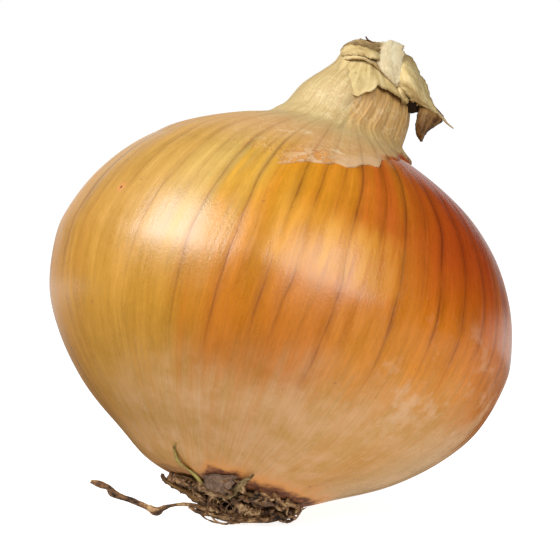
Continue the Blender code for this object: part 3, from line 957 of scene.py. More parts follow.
@dataclass(frozen=True)
class NeckFinish:
    """The dry tan skin of the neck, which turns to the bulb's gold at the left."""

    straw: Colour = srgb(197, 179, 122)
    tan: Colour = srgb(186, 158, 103)
    fibre: Colour = srgb(160, 112, 62)
    window: Colour = srgb(206, 160, 86)
    groove: Colour = srgb(188, 142, 78)
    rib: Colour = srgb(222, 190, 130)
    foot: Colour = srgb(200, 143, 82)
    rim: Colour = srgb(208, 170, 128)
    rim_gap: Colour = srgb(202, 132, 50)
    # The peeling cracks' dark brown, which also stands for painted shade under their lifted edges.
    peel_shade: Colour = srgb(150, 92, 44)
    chalk: Colour = srgb(226, 204, 164)
    crease: Colour = srgb(232, 208, 160)
    cloud: Colour = srgb(190, 136, 80)
    vein: Colour = srgb(122, 86, 52)

    def dry(self, graph: Graph, place: Sockets, fibres: Sockets) -> Socket:
        """The dry skin's own colours, with the ribbed bare part and the pinker foot.

        Args:
            graph: The material's nodes.
            place: The place in the bulb's frame.
            fibres: The streaks.

        Returns:
            The colour.
        """
        azimuth, height = place["Azimuth"], place["Height"]
        dry = graph.mix(graph.mapped(fibres["Middle"], 0.3, 0.7), self.tan, self.straw)
        dry = graph.mix(graph.mapped(fibres["Fine"], 0.4, 0.75, 0.0, 0.35), dry, self.fibre)
        ribs = graph.mix(graph.mapped(fibres["Middle"], 0.36, 0.62), self.groove, self.window)
        ribs = graph.mix(graph.mapped(fibres["Fine"], 0.56, 0.7, 0.0, 0.42), ribs, self.rib)
        bare = graph.times(
            graph.mapped(azimuth, -1.0, 5.0), graph.mapped(azimuth, 150.0, 110.0),
            graph.mapped(height, 28.0, 33.0), 0.85,
        )
        dry = graph.mix(bare, dry, ribs)
        return graph.mix(graph.mapped(height, 31.0, 25.0, 0.0, 0.65), dry, self.foot)

    def rubbed(self, graph: Graph, place: Sockets, torn: Socket, colour: Socket) -> Socket:
        """The colour with a flaky torn rim, peeling cracks beside it with painted shade under their lifted
        edges, and chalky rubbed spots.

        Args:
            graph: The material's nodes.
            place: The place in the bulb's frame.
            torn: Where the rim is torn free.
            colour: The colour so far.

        Returns:
            The colour.
        """
        azimuth, height, edge, spot = place["Azimuth"], place["Height"], graph.noted("edge"), graph.spot()
        flake = graph.grain(spot, 520.0, 5.0, 0.7, 14.0)
        whole = graph.math("MAXIMUM", graph.mapped(flake, 0.48, 0.54), graph.mapped(azimuth, -2.0, 3.0))
        deep = graph.mapped(azimuth, -6.0, 0.0, 6.4, 4.0)
        rim = graph.times(graph.mapped(graph.swung(edge, (flake, 6.0)), deep, 2.4), torn, 0.7)
        colour = graph.mix(rim, colour, graph.mix(whole, self.rim_gap, self.rim))
        # Peeling cracks: thin dark lines, partly real cracks and partly painted shade under lifted edges.
        peeling_shade = graph.times(
            graph.mapped(graph.apart(flake, 0.5), 0.028, 0.006), graph.mapped(edge, 8.0, 4.0),
            graph.mapped(azimuth, 6.0, -2.0), graph.mapped(azimuth, -40.0, -24.0), 0.55,
        )
        colour = graph.mix(peeling_shade, colour, self.peel_shade)
        chalky = graph.times(
            graph.mapped(graph.grain(spot, 260.0, 5.0, 0.75, 21.0), 0.56, 0.64),
            graph.mapped(azimuth, -34.0, -12.0), graph.mapped(azimuth, 24.0, 8.0),
            graph.mapped(edge, 2.0, 4.0), graph.mapped(height, 35.0, 31.0), 0.55,
        )
        return graph.mix(chalky, colour, self.chalk)

    def material(self) -> Material:
        """The neck's material.

        Returns:
            The material, with fibres up the neck and a pale torn rim.
        """
        graph = Dressing("neck skin", specular=0.7)
        skin, place = graph.group("skin_colour"), graph.group("bulb_place")
        azimuth, height = place["Azimuth"], place["Height"]
        fibres = graph.group("fibres", Azimuth=azimuth, Height=height)

        torn = graph.times(graph.mapped(azimuth, -19.0, -8.0), graph.mapped(azimuth, 26.0, 16.0))
        soft = graph.mapped(azimuth, 8.0, 24.0, 1.0, 0.14)
        swings = (fibres["Broad"], graph.times(soft, 14.0)), (fibres["Middle"], graph.times(soft, 9.0))
        blended = graph.mapped(graph.swung(graph.noted("edge"), *swings), 0.4, graph.times(soft, 13.0))
        shown = graph.math("MAXIMUM", torn, blended)
        colour = graph.mix(shown, skin["Color"], self.dry(graph, place, fibres))
        colour = self.rubbed(graph, place, torn, colour)

        creases = graph.group("creases")
        papery = graph.times(
            graph.mapped(height, 28.5, 33.0, 0.5, 1.0), graph.mapped(azimuth, -70.0, -30.0, 0.3, 1.0), shown
        )
        colour = graph.mix(graph.times(creases["Line"], papery, 0.34), colour, self.crease)
        colour = graph.mix(graph.times(creases["Cloud"], papery, 0.2), colour, self.cloud)
        colour = graph.mix(graph.times(skin["Vein"], 0.5), colour, self.vein)
        dull = graph.summed(0.25, (shown, 0.28), (fibres["Middle"], 0.1))
        lift = graph.summed(creases["Field"], (fibres["Fine"], 0.3), (creases["Line"], 0.3))
        return graph.finish(colour, dull, lift, strength=0.5, depth=0.14)


class Tone(Enum):
    """How dark a dry leaf is, as its deep, middle and light colours."""

    CREAM = (srgb(150, 122, 80), srgb(190, 170, 130), srgb(208, 196, 162))
    STRAW = (srgb(152, 118, 68), srgb(194, 167, 114), srgb(213, 196, 150))
    KHAKI = (srgb(128, 100, 54), srgb(186, 160, 104), srgb(214, 194, 142))
    DUN = (srgb(66, 48, 24), srgb(126, 100, 60), srgb(190, 160, 108))
    UMBER = (srgb(38, 20, 6), srgb(92, 58, 22), srgb(156, 118, 66))
    SLATE = (srgb(66, 46, 32), srgb(112, 84, 64), srgb(148, 118, 94))
    GREEN = (srgb(98, 74, 28), srgb(176, 156, 74), srgb(204, 190, 110))
    # Painted shadow: near-black paper for the sheet that stands in for shade in the hollow under the puffy
    # leaf.
    SOOT = (srgb(18, 10, 5), srgb(32, 18, 8), srgb(64, 44, 24))


@dataclass(frozen=True)
class PaperFinish:
    """Dry leaf paper with fibres along the leaf and darker, crisp edges.

    Where it fades, it melts into the skin beside it by the numbers "melt" and "shown" on the mesh.
    """

    tone: Tone
    fades: bool = False
    skin: Colour = srgb(204, 180, 124)

    def material(self) -> Material:
        """The paper's material.

        Returns:
            The material. It reads how far across and along the leaf each point is.
        """
        graph = Dressing(f"{self.tone.name.lower()} paper", specular=0.32)
        across, along, edge = (graph.noted(name) for name in ("across", "along", "edge"))
        creases, spot = graph.group("creases"), graph.spot()
        deep, middle, light = self.tone.value
        blotch = graph.grain(spot, 240.0, 3.0, 0.55, 2.0)
        lines = graph.joined(graph.times(across, 2.6), graph.times(along, 0.16), 0.0)
        fibre = graph.grain(lines, 1.0, 4.0, 0.6, 5.0)
        mixed = graph.summed(0.0, (blotch, 0.5), (fibre, 0.6))
        colour = graph.ramp(mixed, [(0.36, deep), (0.5, middle), (0.68, light)])
        fringe = graph.swung(edge, (blotch, 0.5))
        colour = graph.mix(graph.mapped(fringe, 0.42, 0.08, 0.0, 0.65), colour, deep)
        colour = graph.mix(graph.times(creases["Line"], 0.3), colour, light)
        colour = graph.mix(graph.times(creases["Cloud"], 0.22), colour, deep)
        speck = graph.grain(spot, 520.0, 4.0, 0.7, 31.0)
        colour = graph.mix(graph.mapped(speck, 0.6, 0.7, 0.0, 0.6), colour, deep)
        if self.fades:
            colour = graph.mix(graph.times(graph.noted("melt"), 0.8), colour, self.skin)
            feather = graph.grain(spot, 700.0, 4.0, 0.7, 51.0)
            shown = graph.swung(graph.noted("shown"), (feather, 0.7))
            graph.wire(graph.mapped(shown, 0.15, 0.85), graph.shader["Alpha"])
        dull = graph.summed(0.45, (fibre, 0.25))
        lift = graph.summed(creases["Field"], (fibre, 0.6))
        return graph.finish(colour, dull, lift, strength=0.6, depth=0.2)


@dataclass(frozen=True)
class RootFinish:
    """Dry root: dark brown with tan flecks and a wrinkled skin."""

    deep: Colour = srgb(36, 20, 8)
    middle: Colour = srgb(118, 80, 44)
    light: Colour = srgb(184, 150, 104)

    def material(self) -> Material:
        """The roots' material.

        Returns:
            The material.
        """
        graph = Dressing("dry root")
        patch = graph.grain(graph.spot(), 300.0, 3.0, 0.6, 6.0)
        fine = graph.grain(graph.spot(), 1500.0, 3.0, 0.6, 7.0)
        mixed = graph.summed(0.0, (patch, 0.6), (fine, 0.4))
        colour = graph.ramp(mixed, [(0.4, self.deep), (0.5, self.middle), (0.6, self.light)])
        return graph.finish(colour, graph.summed(0.6, (fine, 0.3)), fine, strength=0.8, depth=0.2)


# -------- the bulb and its neck


@dataclass
class VeinMap:
    """Numbers that place the dark lines on a surface.

    The turn grows by one from each line to the next, so a line lies wherever it is whole.
    """

    turn: Array
    gap: Array
    force: Array

    @classmethod
    def over(cls, azimuth: Array, height: Array, radius: Array) -> "VeinMap":
        """Works out the numbers for rows of points.

        Args:
            azimuth: One azimuth for each column, rising.
            height: Rows of heights.
            radius: Rows of distances from the axis.

        Returns:
            The map, in rows of the same shape.
        """
        veins = sorted(VEINS, key=lambda vein: vein.azimuth)
        count = len(veins)
        base = np.array([vein.azimuth for vein in veins])
        slant = np.array([vein.slant for vein in veins])
        turn, gap, force = (np.zeros(height.shape) for _ in range(3))
        order = np.arange(-1, count + 1)
        for i, (row_height, row_radius) in enumerate(zip(height, radius)):
            middle = float(row_height.mean())
            lines = base + slant * middle
            lines = np.concatenate([[lines[-1] - 360], lines, [lines[0] + 360]])
            angle = np.radians(azimuth)
            bent = azimuth + WANDER * rough(grain_spot(angle, 3.2, row_height * 0.055), 12.0, 3)
            spaces = np.gradient(lines)
            strength = np.array([v.strength * smooth(middle, v.foot, v.foot + 14) for v in veins])
            strength = np.concatenate([[strength[-1]], strength, [strength[0]]])
            turn[i] = np.interp(bent, lines, order)
            gap[i] = np.interp(bent, lines, spaces) * row_radius * math.pi / 180
            force[i] = np.interp(bent, lines, strength)
        return cls(turn, gap, force)

    def relief(self) -> Array:
        """How strongly the lines mark each point, from 0 to 1."""
        away = np.abs(self.turn - np.round(self.turn)) * self.gap
        return self.force * np.exp(-((away / 0.7) ** 2))

    def keep(self, mesh: Mesh, around: int) -> None:
        """Keeps the map on a mesh made by rings from the same rows.

        Args:
            mesh: The mesh.
            around: How many columns it has.
        """
        for name, values in (("vein_gap", self.gap), ("vein_force", self.force)):
            note(mesh, name, with_poles(values))
        flat = np.concatenate([self.turn[1:-1].ravel(), [0.0, 0.0]])
        corners = np.zeros(len(mesh.loops), np.int32)
        mesh.loops.foreach_get("vertex_index", corners)
        values = flat[corners]
        columns = corners % around
        whole = len(VEINS)
        for face in mesh.polygons:
            if len(face.vertices) == 4:
                first = face.loop_start
                own = columns[first : first + 4]
                if own.max() - own.min() > around // 2:
                    values[first : first + 4] += np.where(own == 0, whole, 0)
        layer = mesh.attributes.new("vein_turn", "FLOAT", "CORNER")
        layer.data.foreach_set("value", values.astype(np.float32))


@dataclass(frozen=True)
class Unevenness:
    """The faint flats and furrows of the body, which the skin over it follows."""

    flats: float = 0.1
    furrows: float = 0.04
    inset: float = 0.04

    def over(self, share: Array, azimuth: Array) -> Array:
        """How far the surface stands off its plain form.

        Args:
            share: How far up the outline.
            azimuth: Azimuths in degrees.

        Returns:
            The distances in millimetres.
        """
        plain, turn = FORM.at(share, azimuth), np.radians(azimuth)
        height, radius = plain[..., 2], np.hypot(plain[..., 0], plain[..., 1])
        broad = rough(grain_spot(turn, 1.5, height * 0.03), 1.0, 2)
        narrow = rough(grain_spot(turn, 7, height * 0.022), 2.0, 2)
        fade = smooth(radius, 2.0, 14.0)
        return (self.flats * (broad - 0.6) / 2 + self.furrows * narrow - self.inset) * fade


UNEVEN = Unevenness()


@dataclass
class BulbSkin:
    """The round body with its faint flats and sunken veins."""

    rows: int = 200
    around: int = 440
    vein_depth: float = 0.05

    def grid(self) -> tuple[Array, VeinMap]:
        """The body's points in the bulb's frame.

        Returns:
            Rows of points from the root plate to the neck, and where their veins are.
        """
        shares = 0.5 - 0.5 * np.cos(np.linspace(0, math.pi, self.rows))
        shares = 0.35 * shares + 0.65 * np.linspace(0, 1, self.rows)
        columns = np.linspace(-180, 180, self.around, endpoint=False)
        azimuth, share = columns[None, :], shares[:, None]
        plain = FORM.at(share, azimuth)
        height, radius = plain[..., 2], np.hypot(plain[..., 0], plain[..., 1])
        veins = VeinMap.over(columns, height, radius)
        sunken = self.vein_depth * veins.relief() * smooth(radius, 2.0, 14.0)
        return FORM.at(share, azimuth, UNEVEN.over(share, azimuth) - sunken), veins

    def build(self) -> Piece:
        """Makes the bulb.

        Returns:
            The piece that stands for the bulb's solid.
        """
        points, veins = self.grid()
        mesh = rings("bulb_skin", PLACE.leaning(points))
        veins.keep(mesh, self.around)
        piece = finished("bulb_skin", mesh, SkinFinish().material())
        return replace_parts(piece, "bulb")


@dataclass
class NeckSkin:
    """The skin of the shoulder and the dried stalk, which is pleated where the collar leaves it bare."""

    around: int = 480
    shoulder_rows: int = 34
    stalk_rows: int = 74
    # How far the skin stands off the bulb at its torn edge, where the edge melts in, and at the stalk.
    thin: float = 0.16
    tuck: float = 0.08
    stand: float = 0.95
    ragged: float = 0.55
    foot_top: float = 12.9
    pleats: float = 0.12
    # Where the bare stalk starts at the left: heights, then azimuths.
    left_edge: tuple[tuple[float, ...], tuple[float, ...]] = (
        (31.5, 35.6, 37.2, 40.9, 43.0), (-26.0, -24.0, -27.0, -50.0, -58.0),
    )
    # Sharp ribs and grooves of the bare part, as azimuth, half width and height.
    creases: tuple[Point, ...] = (
        (6, 1.8, 0.1), (13, 1.2, 0.14), (21, 2.4, -0.16), (28, 1.2, 0.16), (37, 3.0, -0.2), (46, 1.6, 0.16),
        (56, 3.0, -0.2), (66, 1.8, 0.14), (78, 3.0, -0.2), (94, 2.4, 0.14), (112, 3.4, -0.2),
    )

    def torn_radius(self, azimuth: Array) -> Array:
        """Where the skin ends on the shoulder, with its small tears.

        Args:
            azimuth: Azimuths in degrees.

        Returns:
            The radii there.
        """
        turn = np.radians(azimuth)
        spot = grain_spot(turn, 9)
        tears = self.ragged * rough(spot, 3.0, 3) + 0.35 * np.abs(rough(spot * 4, 4.0, 2))
        bare = smooth(azimuth, -24, -4) * smooth(azimuth, 165, 120)
        return eased(TORN_EDGE, azimuth) + tears * (0.25 + 0.75 * bare)

    def profile(self, azimuth: Array) -> Array:
        """The neck's smooth form.

        Args:
            azimuth: Azimuths in degrees.

        Returns:
            Control rows of points from the torn edge to the crown.
        """
        edge = FORM.share_at(self.torn_radius(azimuth), upper=True)
        top = FORM.share_at(self.foot_top, upper=True)
        torn = smooth(azimuth, -19, -9) * smooth(azimuth, 26, 16)
        rows = []
        for step in np.linspace(0, 1, 6):
            share = edge + (top - edge) * step
            lift = self.thin + (self.stand - self.thin) * step**2.2
            if step == 0:
                lift = -self.tuck + (self.thin + self.tuck) * torn
            rows.append(FORM.at(share, azimuth, lift + UNEVEN.over(share, azimuth)))
        for bare, under in zip(STALK, COVERED_STALK):
            past = azimuth - np.interp(bare[0], *self.left_edge)
            side = np.maximum(1 - smooth(past, 12, 27), smooth(azimuth, 140, 180))[:, None]
            plain, covered = (round_point(r, azimuth, h, c) for h, c, r in (bare, under))
            rows.append(plain * (1 - side) + covered * side)
        return np.array(rows)

    def pleat_depth(self, azimuth: Array, height: Array) -> Array:
        """How far the skin stands out or sinks in.

        Args:
            azimuth: Azimuths in degrees.
            height: Heights in millimetres.

        Returns:
            The distances in millimetres.
        """
        turn = np.radians(azimuth)
        ribs = 1 - 2 * np.abs(rough(grain_spot(turn, 3.4, height * 0.035), 5.0, 1))
        fine = rough(grain_spot(turn, 13, height * 0.05), 6.0, 2)
        bare = smooth(azimuth, -8, 4) * smooth(azimuth, 170, 130)
        depth = self.pleats * (ribs * (0.3 + 0.7 * bare) + 0.22 * fine * (0.4 + 0.6 * bare))
        sway = rough(stacked(turn * 2, height * 0.1, 0 * turn), 13.0, 1)
        swayed = azimuth + 0.2 * np.sin(height * 0.4) + 0.5 * sway
        steep = smooth(height, 28.5, 33.0)
        for at, wide, tall in self.creases:
            depth = depth + tall * np.exp(-(((swayed - at) / wide) ** 2)) * steep
        step = 2.0 + np.minimum(height - 31.0, 0) * 2.2
        depth = depth + 0.22 * smooth(azimuth - step, 2.0, -1.5) * smooth(azimuth, -60, -20)
        return depth * smooth(height, 24.5, 31.5) * smooth(height, 44.5, 42.0)

    def grid(self) -> tuple[Array, Array]:
        """The neck's points in the bulb's frame.

        Returns:
            Rows of points from a hidden pole inside the bulb to the crown, and how far in from the torn
            edge each point is, in millimetres.
        """
        azimuth = np.linspace(-180, 180, self.around, endpoint=False)
        profile = self.profile(azimuth)
        last = len(profile) - 1
        low = np.linspace(0, 5 / last, self.shoulder_rows, endpoint=False)
        shares = np.concatenate([low, np.linspace(5 / last, 1, self.stalk_rows)])
        rows = through(profile, shares)
        out = normals_of(np.concatenate([rows, rows[:, :1]], axis=1))[:, :-1]
        out *= np.sign((out * (rows - (0, 0, 20))).sum(-1, keepdims=True))
        rows = rows + out * self.pleat_depth(azimuth[None, :], rows[..., 2])[..., None]
        steps = np.linalg.norm(np.diff(rows, axis=0), axis=-1)
        reach = np.concatenate([np.zeros((1, self.around)), np.cumsum(steps, axis=0)])
        edge = FORM.share_at(self.torn_radius(azimuth), upper=True)
        under = FORM.at(edge, azimuth, -0.45)
        pole = np.broadcast_to([0.0, 0.0, 22.0], under.shape)
        points = np.concatenate([[pole, under], rows])
        return points, np.concatenate([np.zeros((2, self.around)), reach])

    def build(self) -> Piece:
        """Makes the neck.

        Returns:
            The piece that stands for the neck's solid.
        """
        points, reach = self.grid()
        mesh = rings("neck_skin", PLACE.leaning(points), {"edge": reach})
        columns = np.linspace(-180, 180, self.around, endpoint=False)
        veins = VeinMap.over(columns, points[..., 2], np.hypot(points[..., 0], points[..., 1]))
        veins.keep(mesh, self.around)
        piece = finished("neck_skin", mesh, NeckFinish().material())
        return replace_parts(piece, "neck_sheath")


@dataclass
class TornCollar:
    """The papery skirt that stands out round the upper stalk, with a torn, lipped lower edge."""

    first: float = -80.0
    last: float = 200.0
    columns: int = 340
    rows: int = 46
    foot: float = 35.7
    # Where the collar leaves the neck at its left: heights, then azimuths.
    left_edge: tuple[tuple[float, ...], tuple[float, ...]] = (
        (35.6, 36.6, 37.2, 37.9, 40.9, 43.0), (-14.0, -20.0, -27.0, -34.0, -54.0, -62.0),
    )
    thickness: float = 0.22
    ragged: float = 0.42
    lip: float = 0.34
    crumple: float = 0.26

    def grid(self) -> tuple[Array, dict[str, Array]]:
        """The collar's middle surface in the bulb's frame.

        Returns:
            Rows of points from its foot to its top, and the numbers its paper reads.
        """
        azimuth = np.linspace(self.first, self.last, self.columns)
        turn = np.radians(azimuth)
        spot = grain_spot(turn, 5)
        tears = self.ragged * rough(spot, 8.0, 3) + 0.3 * np.abs(rough(spot * 3, 9.0, 1))
        foot = eased(COLLAR_FOOT, azimuth)
        foot = foot + (np.maximum(foot, self.foot) - foot) * smooth(azimuth, 60, 0)
        foot = foot + tears * smooth(azimuth, -12, 6) + 1.8 * smooth(azimuth, -9, -24)
        top = eased(COLLAR_TOP, azimuth) + 0.6
        share = np.linspace(0, 1, self.rows)[:, None]
        height = foot + (top - foot) * share
        line = np.array(COLLAR_LINE)
        radius = np.interp(height, line[:, 0], line[:, 2])
        middle = np.interp(height, line[:, 0], line[:, 1])
        edge = height - foot
        left = np.interp(height, *self.left_edge)
        ends = smooth(azimuth - left, -14.0, -6.0) * smooth(azimuth, self.last - 6, self.last - 40)
        free = smooth(azimuth - left, 9.0, 37.0)
        stand = (0.35 + self.relief(turn, height, edge, share)) * free + 0.66 * (1 - free)
        stand = stand * ends - 0.55 * (1 - ends)
        points = round_point(radius + stand, azimuth, height, middle)
        notes = {
            "across": turn * 4 + 0 * height,
            "along": height - 32,
            "edge": edge + 6 * (1 - free),
            "shown": np.clip((azimuth - left + 6) / 22, 0, 1),
            "melt": 1 - smooth(azimuth - left, 4.0, 36.0),
        }
        return points, notes

    def relief(self, turn: Array, height: Array, edge: Array, share: Array) -> Array:
        """How far the paper flares, folds and curls out.

        Args:
            turn: Azimuths in radians.
            height: Heights in millimetres.
            edge: How far above the torn foot each point is.
            share: How far up the collar each row is, from 0 to 1.

        Returns:
            The distances in millimetres.
        """
        flare = 0.42 * (1 - share) ** 2 * (1 + np.cos(turn - math.radians(30))) / 2
        wave = rough(grain_spot(turn, 2.6, height * 0.16), 10.0, 2)
        sharp = 1 - 2 * np.abs(rough(grain_spot(turn, 3.4, height * 0.3), 11.0, 1))
        curl = 0.5 + 0.5 * np.sin(turn * 9 + 2 * np.sin(turn * 4))
        return flare + self.crumple * (wave + 0.5 * sharp) + self.lip * np.exp(-((edge / 0.9) ** 2)) * curl

    def build(self) -> Piece:
        """Makes the collar.

        Returns:
            The piece that stands for the collar's solid.
        """
        points, notes = self.grid()
        mesh = sheet("collar_paper", PLACE.leaning(points), self.thickness, notes)
        paper = PaperFinish(Tone.KHAKI, fades=True).material()
        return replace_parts(finished("collar_paper", mesh, paper), "torn_collar")


# -------- leaf ends


@dataclass
class Leaf:
    """A withered leaf end, a thin sheet over a net of points from its root to its tip."""

    name: str
    net: Net
    tone: Tone
    seed: float
    columns: int = 44
    rows: int = 72
    thickness: float = 0.24
    ragged: float = 0.35
    crumple: float = 0.28
    ribs: float = 0.09
    curl: float = 0.25
    leaning: bool = True

    def grid(self) -> tuple[Array, dict[str, Array]]:
        """The leaf's middle surface.

        Returns:
            Rows of points in millimetres, and the numbers its paper reads.
        """
        net = np.array(self.net, float)
        reach = np.linalg.norm(np.diff(net[:, 1], axis=0), axis=1).sum()
        girth = max(np.linalg.norm(net[:, 0] - net[:, -1], axis=1).mean(), 0.5)
        along, across = np.linspace(0, 1, self.rows), np.linspace(-0.5, 0.5, self.columns)
        seeds = [self.seed + shift for shift in (0.0, 0.31, 0.57)]
        spot = stacked(along * reach * 0.9, np.zeros(self.rows), np.zeros(self.rows))
        left, right = (self.ragged * rough(spot, seed, 3) / girth for seed in seeds[:2])
        spot = stacked(across * girth * 0.9, 0 * across, 0 * across)
        tip = self.ragged * rough(spot, seeds[2], 3) / reach
        rows = []
        for v, low, high in zip(along, left, right):
            line = through(net, np.array([v]))[0]
            rows.append(through(line, np.clip(0.5 + across * (1 + low + high) + (high - low) / 2, 0, 1)))
        points = np.array(rows)
        root = through(net, np.array([0.0]))[0, 1]
        points = points + (points - root) * (tip * along[:, None] ** 3)[..., None] * 0.5
        u, v = across[None, :] * girth + 0 * along[:, None], along[:, None] * reach + 0 * across
        width = np.linalg.norm(points[:, 0] - points[:, -1], axis=1)[:, None]
        edge = np.minimum((0.5 - np.abs(across)) * width, (1 - along)[:, None] * reach)
        folds = rough(stacked(u * 0.28, v * 0.2, 0 * u), self.seed + 1, 2)
        sharp = 1 - 2 * np.abs(rough(stacked(u * 0.45, v * 0.2, 0 * u), self.seed + 2, 1))
        sharp = sharp - 0.9 * np.abs(rough(stacked(u * 1.1, v * 0.6, 0 * u), self.seed + 4, 2))
        ribs = np.sin(u * 4.2 + 2 * rough(stacked(u * 0.2, v * 0.1, 0 * u), self.seed + 3))
        lift = self.crumple * (folds + 0.55 * sharp) + self.ribs * ribs
        lift += self.curl * np.exp(-((edge / 0.8) ** 2)) * np.sin(v * 0.9 + self.seed)
        grown = smooth(along, 0.0, 0.12)[:, None]
        points = points + normals_of(points) * (lift * grown)[..., None]
        return points, {"across": u, "along": v, "edge": edge}

    def build(self, slot: str, papers: dict[Tone, Material]) -> Piece:
        """Makes the leaf.

        Args:
            slot: The name of the solid that it stands in for, which is hidden.
            papers: The finishes by tone.

        Returns:
            The piece.
        """
        points, notes = self.grid()
        placed = PLACE.leaning(points) if self.leaning else PLACE.upright(points)
        mesh = sheet(self.name, placed, self.thickness, notes)
        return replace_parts(finished(self.name, mesh, papers[self.tone]), slot)


@dataclass
class Knot:
    """The crumpled middle of the crown, where the leaf ends are twisted together."""

    middle: Point = (1.0, -0.2, 44.3)
    size: Point = (4.2, 4.4, 1.9)
    crumple: float = 0.16

    def build(self, papers: dict[Tone, Material]) -> Piece:
        """Makes the knot.

        Args:
            papers: The finishes by tone.

        Returns:
            The piece.
        """
        azimuth, slope, form = ball(120)
        fold = 1 - 2 * np.abs(rough(form * (2.4, 2.4, 1.2), 21.0, 2))
        points = form * (1 + self.crumple * (fold - 0.7))[..., None] * self.size + self.middle
        across, along = np.broadcast_arrays(azimuth / 20, slope / 15)
        notes = {"across": across, "along": along, "edge": np.full(across.shape, 3.0)}
        mesh = rings("leaf_knot", PLACE.leaning(points), notes)
        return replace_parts(finished("leaf_knot", mesh, papers[Tone.KHAKI]), "dry_leaves")


# -------- strands


# A strand's points in the row frame and its radii in millimetres.
Strand = tuple[Array, Array]


@dataclass
class StrandTree:
    """A Geometry Nodes tree that turns chains of points into round, kinked strands."""

    name: str
    sides: int = 6
    step: float = 0.45
    kink: float = 0.5
    kink_size: float = 1.6
    wrinkle: float = 0.35
    lumps: float = 1400.0

    def tree(self) -> bpy.types.NodeTree:
        """Builds the tree.

        Returns:
            The tree, with inputs for the step, kink, its size, the wrinkles, the seed and the material.
        """
        tree = bpy.data.node_groups.new(self.name, "GeometryNodeTree")
        takes = {
            "Geometry": "Geometry", "Step": "Float", "Kink": "Float", "Kink Size": "Float",
            "Wrinkle": "Float", "Seed": "Float", "Sides": "Int", "Material": "Material",
        }
        for label, kind in takes.items():
            tree.interface.new_socket(label, in_out="INPUT", socket_type="NodeSocket" + kind)
        tree.interface.new_socket("Geometry", in_out="OUTPUT", socket_type="NodeSocketGeometry")
        graph = Graph(tree)
        given = graph.node("NodeGroupInput").outputs
        chain = graph.fed("GeometryNodeMeshToCurve", {"Mesh": given["Geometry"]})
        named = {"Name": "radius"}
        radius = graph.fed("GeometryNodeInputNamedAttribute", named, "Attribute", data_type="FLOAT")
        chain = graph.fed("GeometryNodeSetCurveRadius", {"Curve": chain, "Radius": radius})
        even = {"Curve": chain, "Length": given["Step"]}
        chain = graph.fed("GeometryNodeResampleCurve", even, mode="LENGTH")

        place = graph.node("GeometryNodeInputPosition").outputs[0]
        bends = {"Vector": place, "W": given["Seed"], "Scale": given["Kink Size"], "Detail": 2.0}
        bend = graph.fed("ShaderNodeTexNoise", bends, "Color", noise_dimensions="4D")
        bend = graph.fed("ShaderNodeVectorMath", {0: bend, 1: (0.5, 0.5, 0.5)}, operation="SUBTRACT")
        way = graph.node("GeometryNodeSplineParameter").outputs["Factor"]
        loose = graph.times(graph.math("SMOOTH_MIN", way, 0.5, 0.3), given["Kink"])
        swing = graph.fed("ShaderNodeVectorMath", {0: bend, "Scale": loose}, operation="SCALE")
        chain = graph.fed("GeometryNodeSetPosition", {"Geometry": chain, "Offset": swing})

        ring = graph.fed("GeometryNodeCurvePrimitiveCircle", {"Resolution": given["Sides"], "Radius": 1.0})
        tube = {"Curve": chain, "Profile Curve": ring, "Fill Caps": True}
        skin = graph.fed("GeometryNodeCurveToMesh", tube)
        if "Scale" in skin.node.inputs:
            graph.wire(graph.node("GeometryNodeInputRadius").outputs[0], skin.node.inputs["Scale"])

        lumps = {"Vector": place, "Scale": self.lumps}
        lump = graph.fed("ShaderNodeTexNoise", lumps, noise_dimensions="3D")
        swell = {
            0: graph.node("GeometryNodeInputNormal").outputs[0],
            "Scale": graph.times(graph.math("SUBTRACT", lump, 0.5), given["Wrinkle"]),
        }
        lift = graph.fed("ShaderNodeVectorMath", swell, operation="SCALE")
        skin = graph.fed("GeometryNodeSetPosition", {"Geometry": skin, "Offset": lift})
        skin = graph.fed("GeometryNodeRealizeInstances", {0: skin})
        dressed = {"Geometry": skin, "Material": given["Material"]}
        skin = graph.fed("GeometryNodeSetMaterial", dressed)
        graph.wire(skin, graph.node("NodeGroupOutput").inputs[0])
        return tree

    def grow(self, name: str, strands: list[Strand], material: Material, seed: float) -> Mesh:
        """Runs the tree over strands.

        Args:
            name: The mesh's name.
            strands: For each strand, its points in the row frame and its radii in millimetres.
            material: Its finish.
            seed: Which kinks it gets.

        Returns:
            The plain mesh.
        """
        points, links, radii = [], [], []
        for path, girths in strands:
            start = len(points)
            points += path.tolist()
            radii += (np.asarray(girths) * MM).tolist()
            links += [(start + i, start + i + 1) for i in range(len(path) - 1)]
        chains = bpy.data.meshes.new(name)
        chains.from_pydata(points, links, [])
        note(chains, "radius", np.array(radii))
        holder = linked(name + "_chains", chains)
        grown = holder.modifiers.new("strands", "NODES")
        grown.node_group = self.tree()
        values = {
            "Step": self.step * MM, "Kink": self.kink * MM, "Kink Size": 1 / (self.kink_size * MM),
            "Wrinkle": self.wrinkle * MM, "Seed": seed, "Sides": self.sides, "Material": material,
        }
        for item in grown.node_group.interface.items_tree:
            if item.in_out == "INPUT" and item.name in values:
                grown[item.identifier] = values[item.name]
        return outward(baked(holder, name))


# -------- the crown


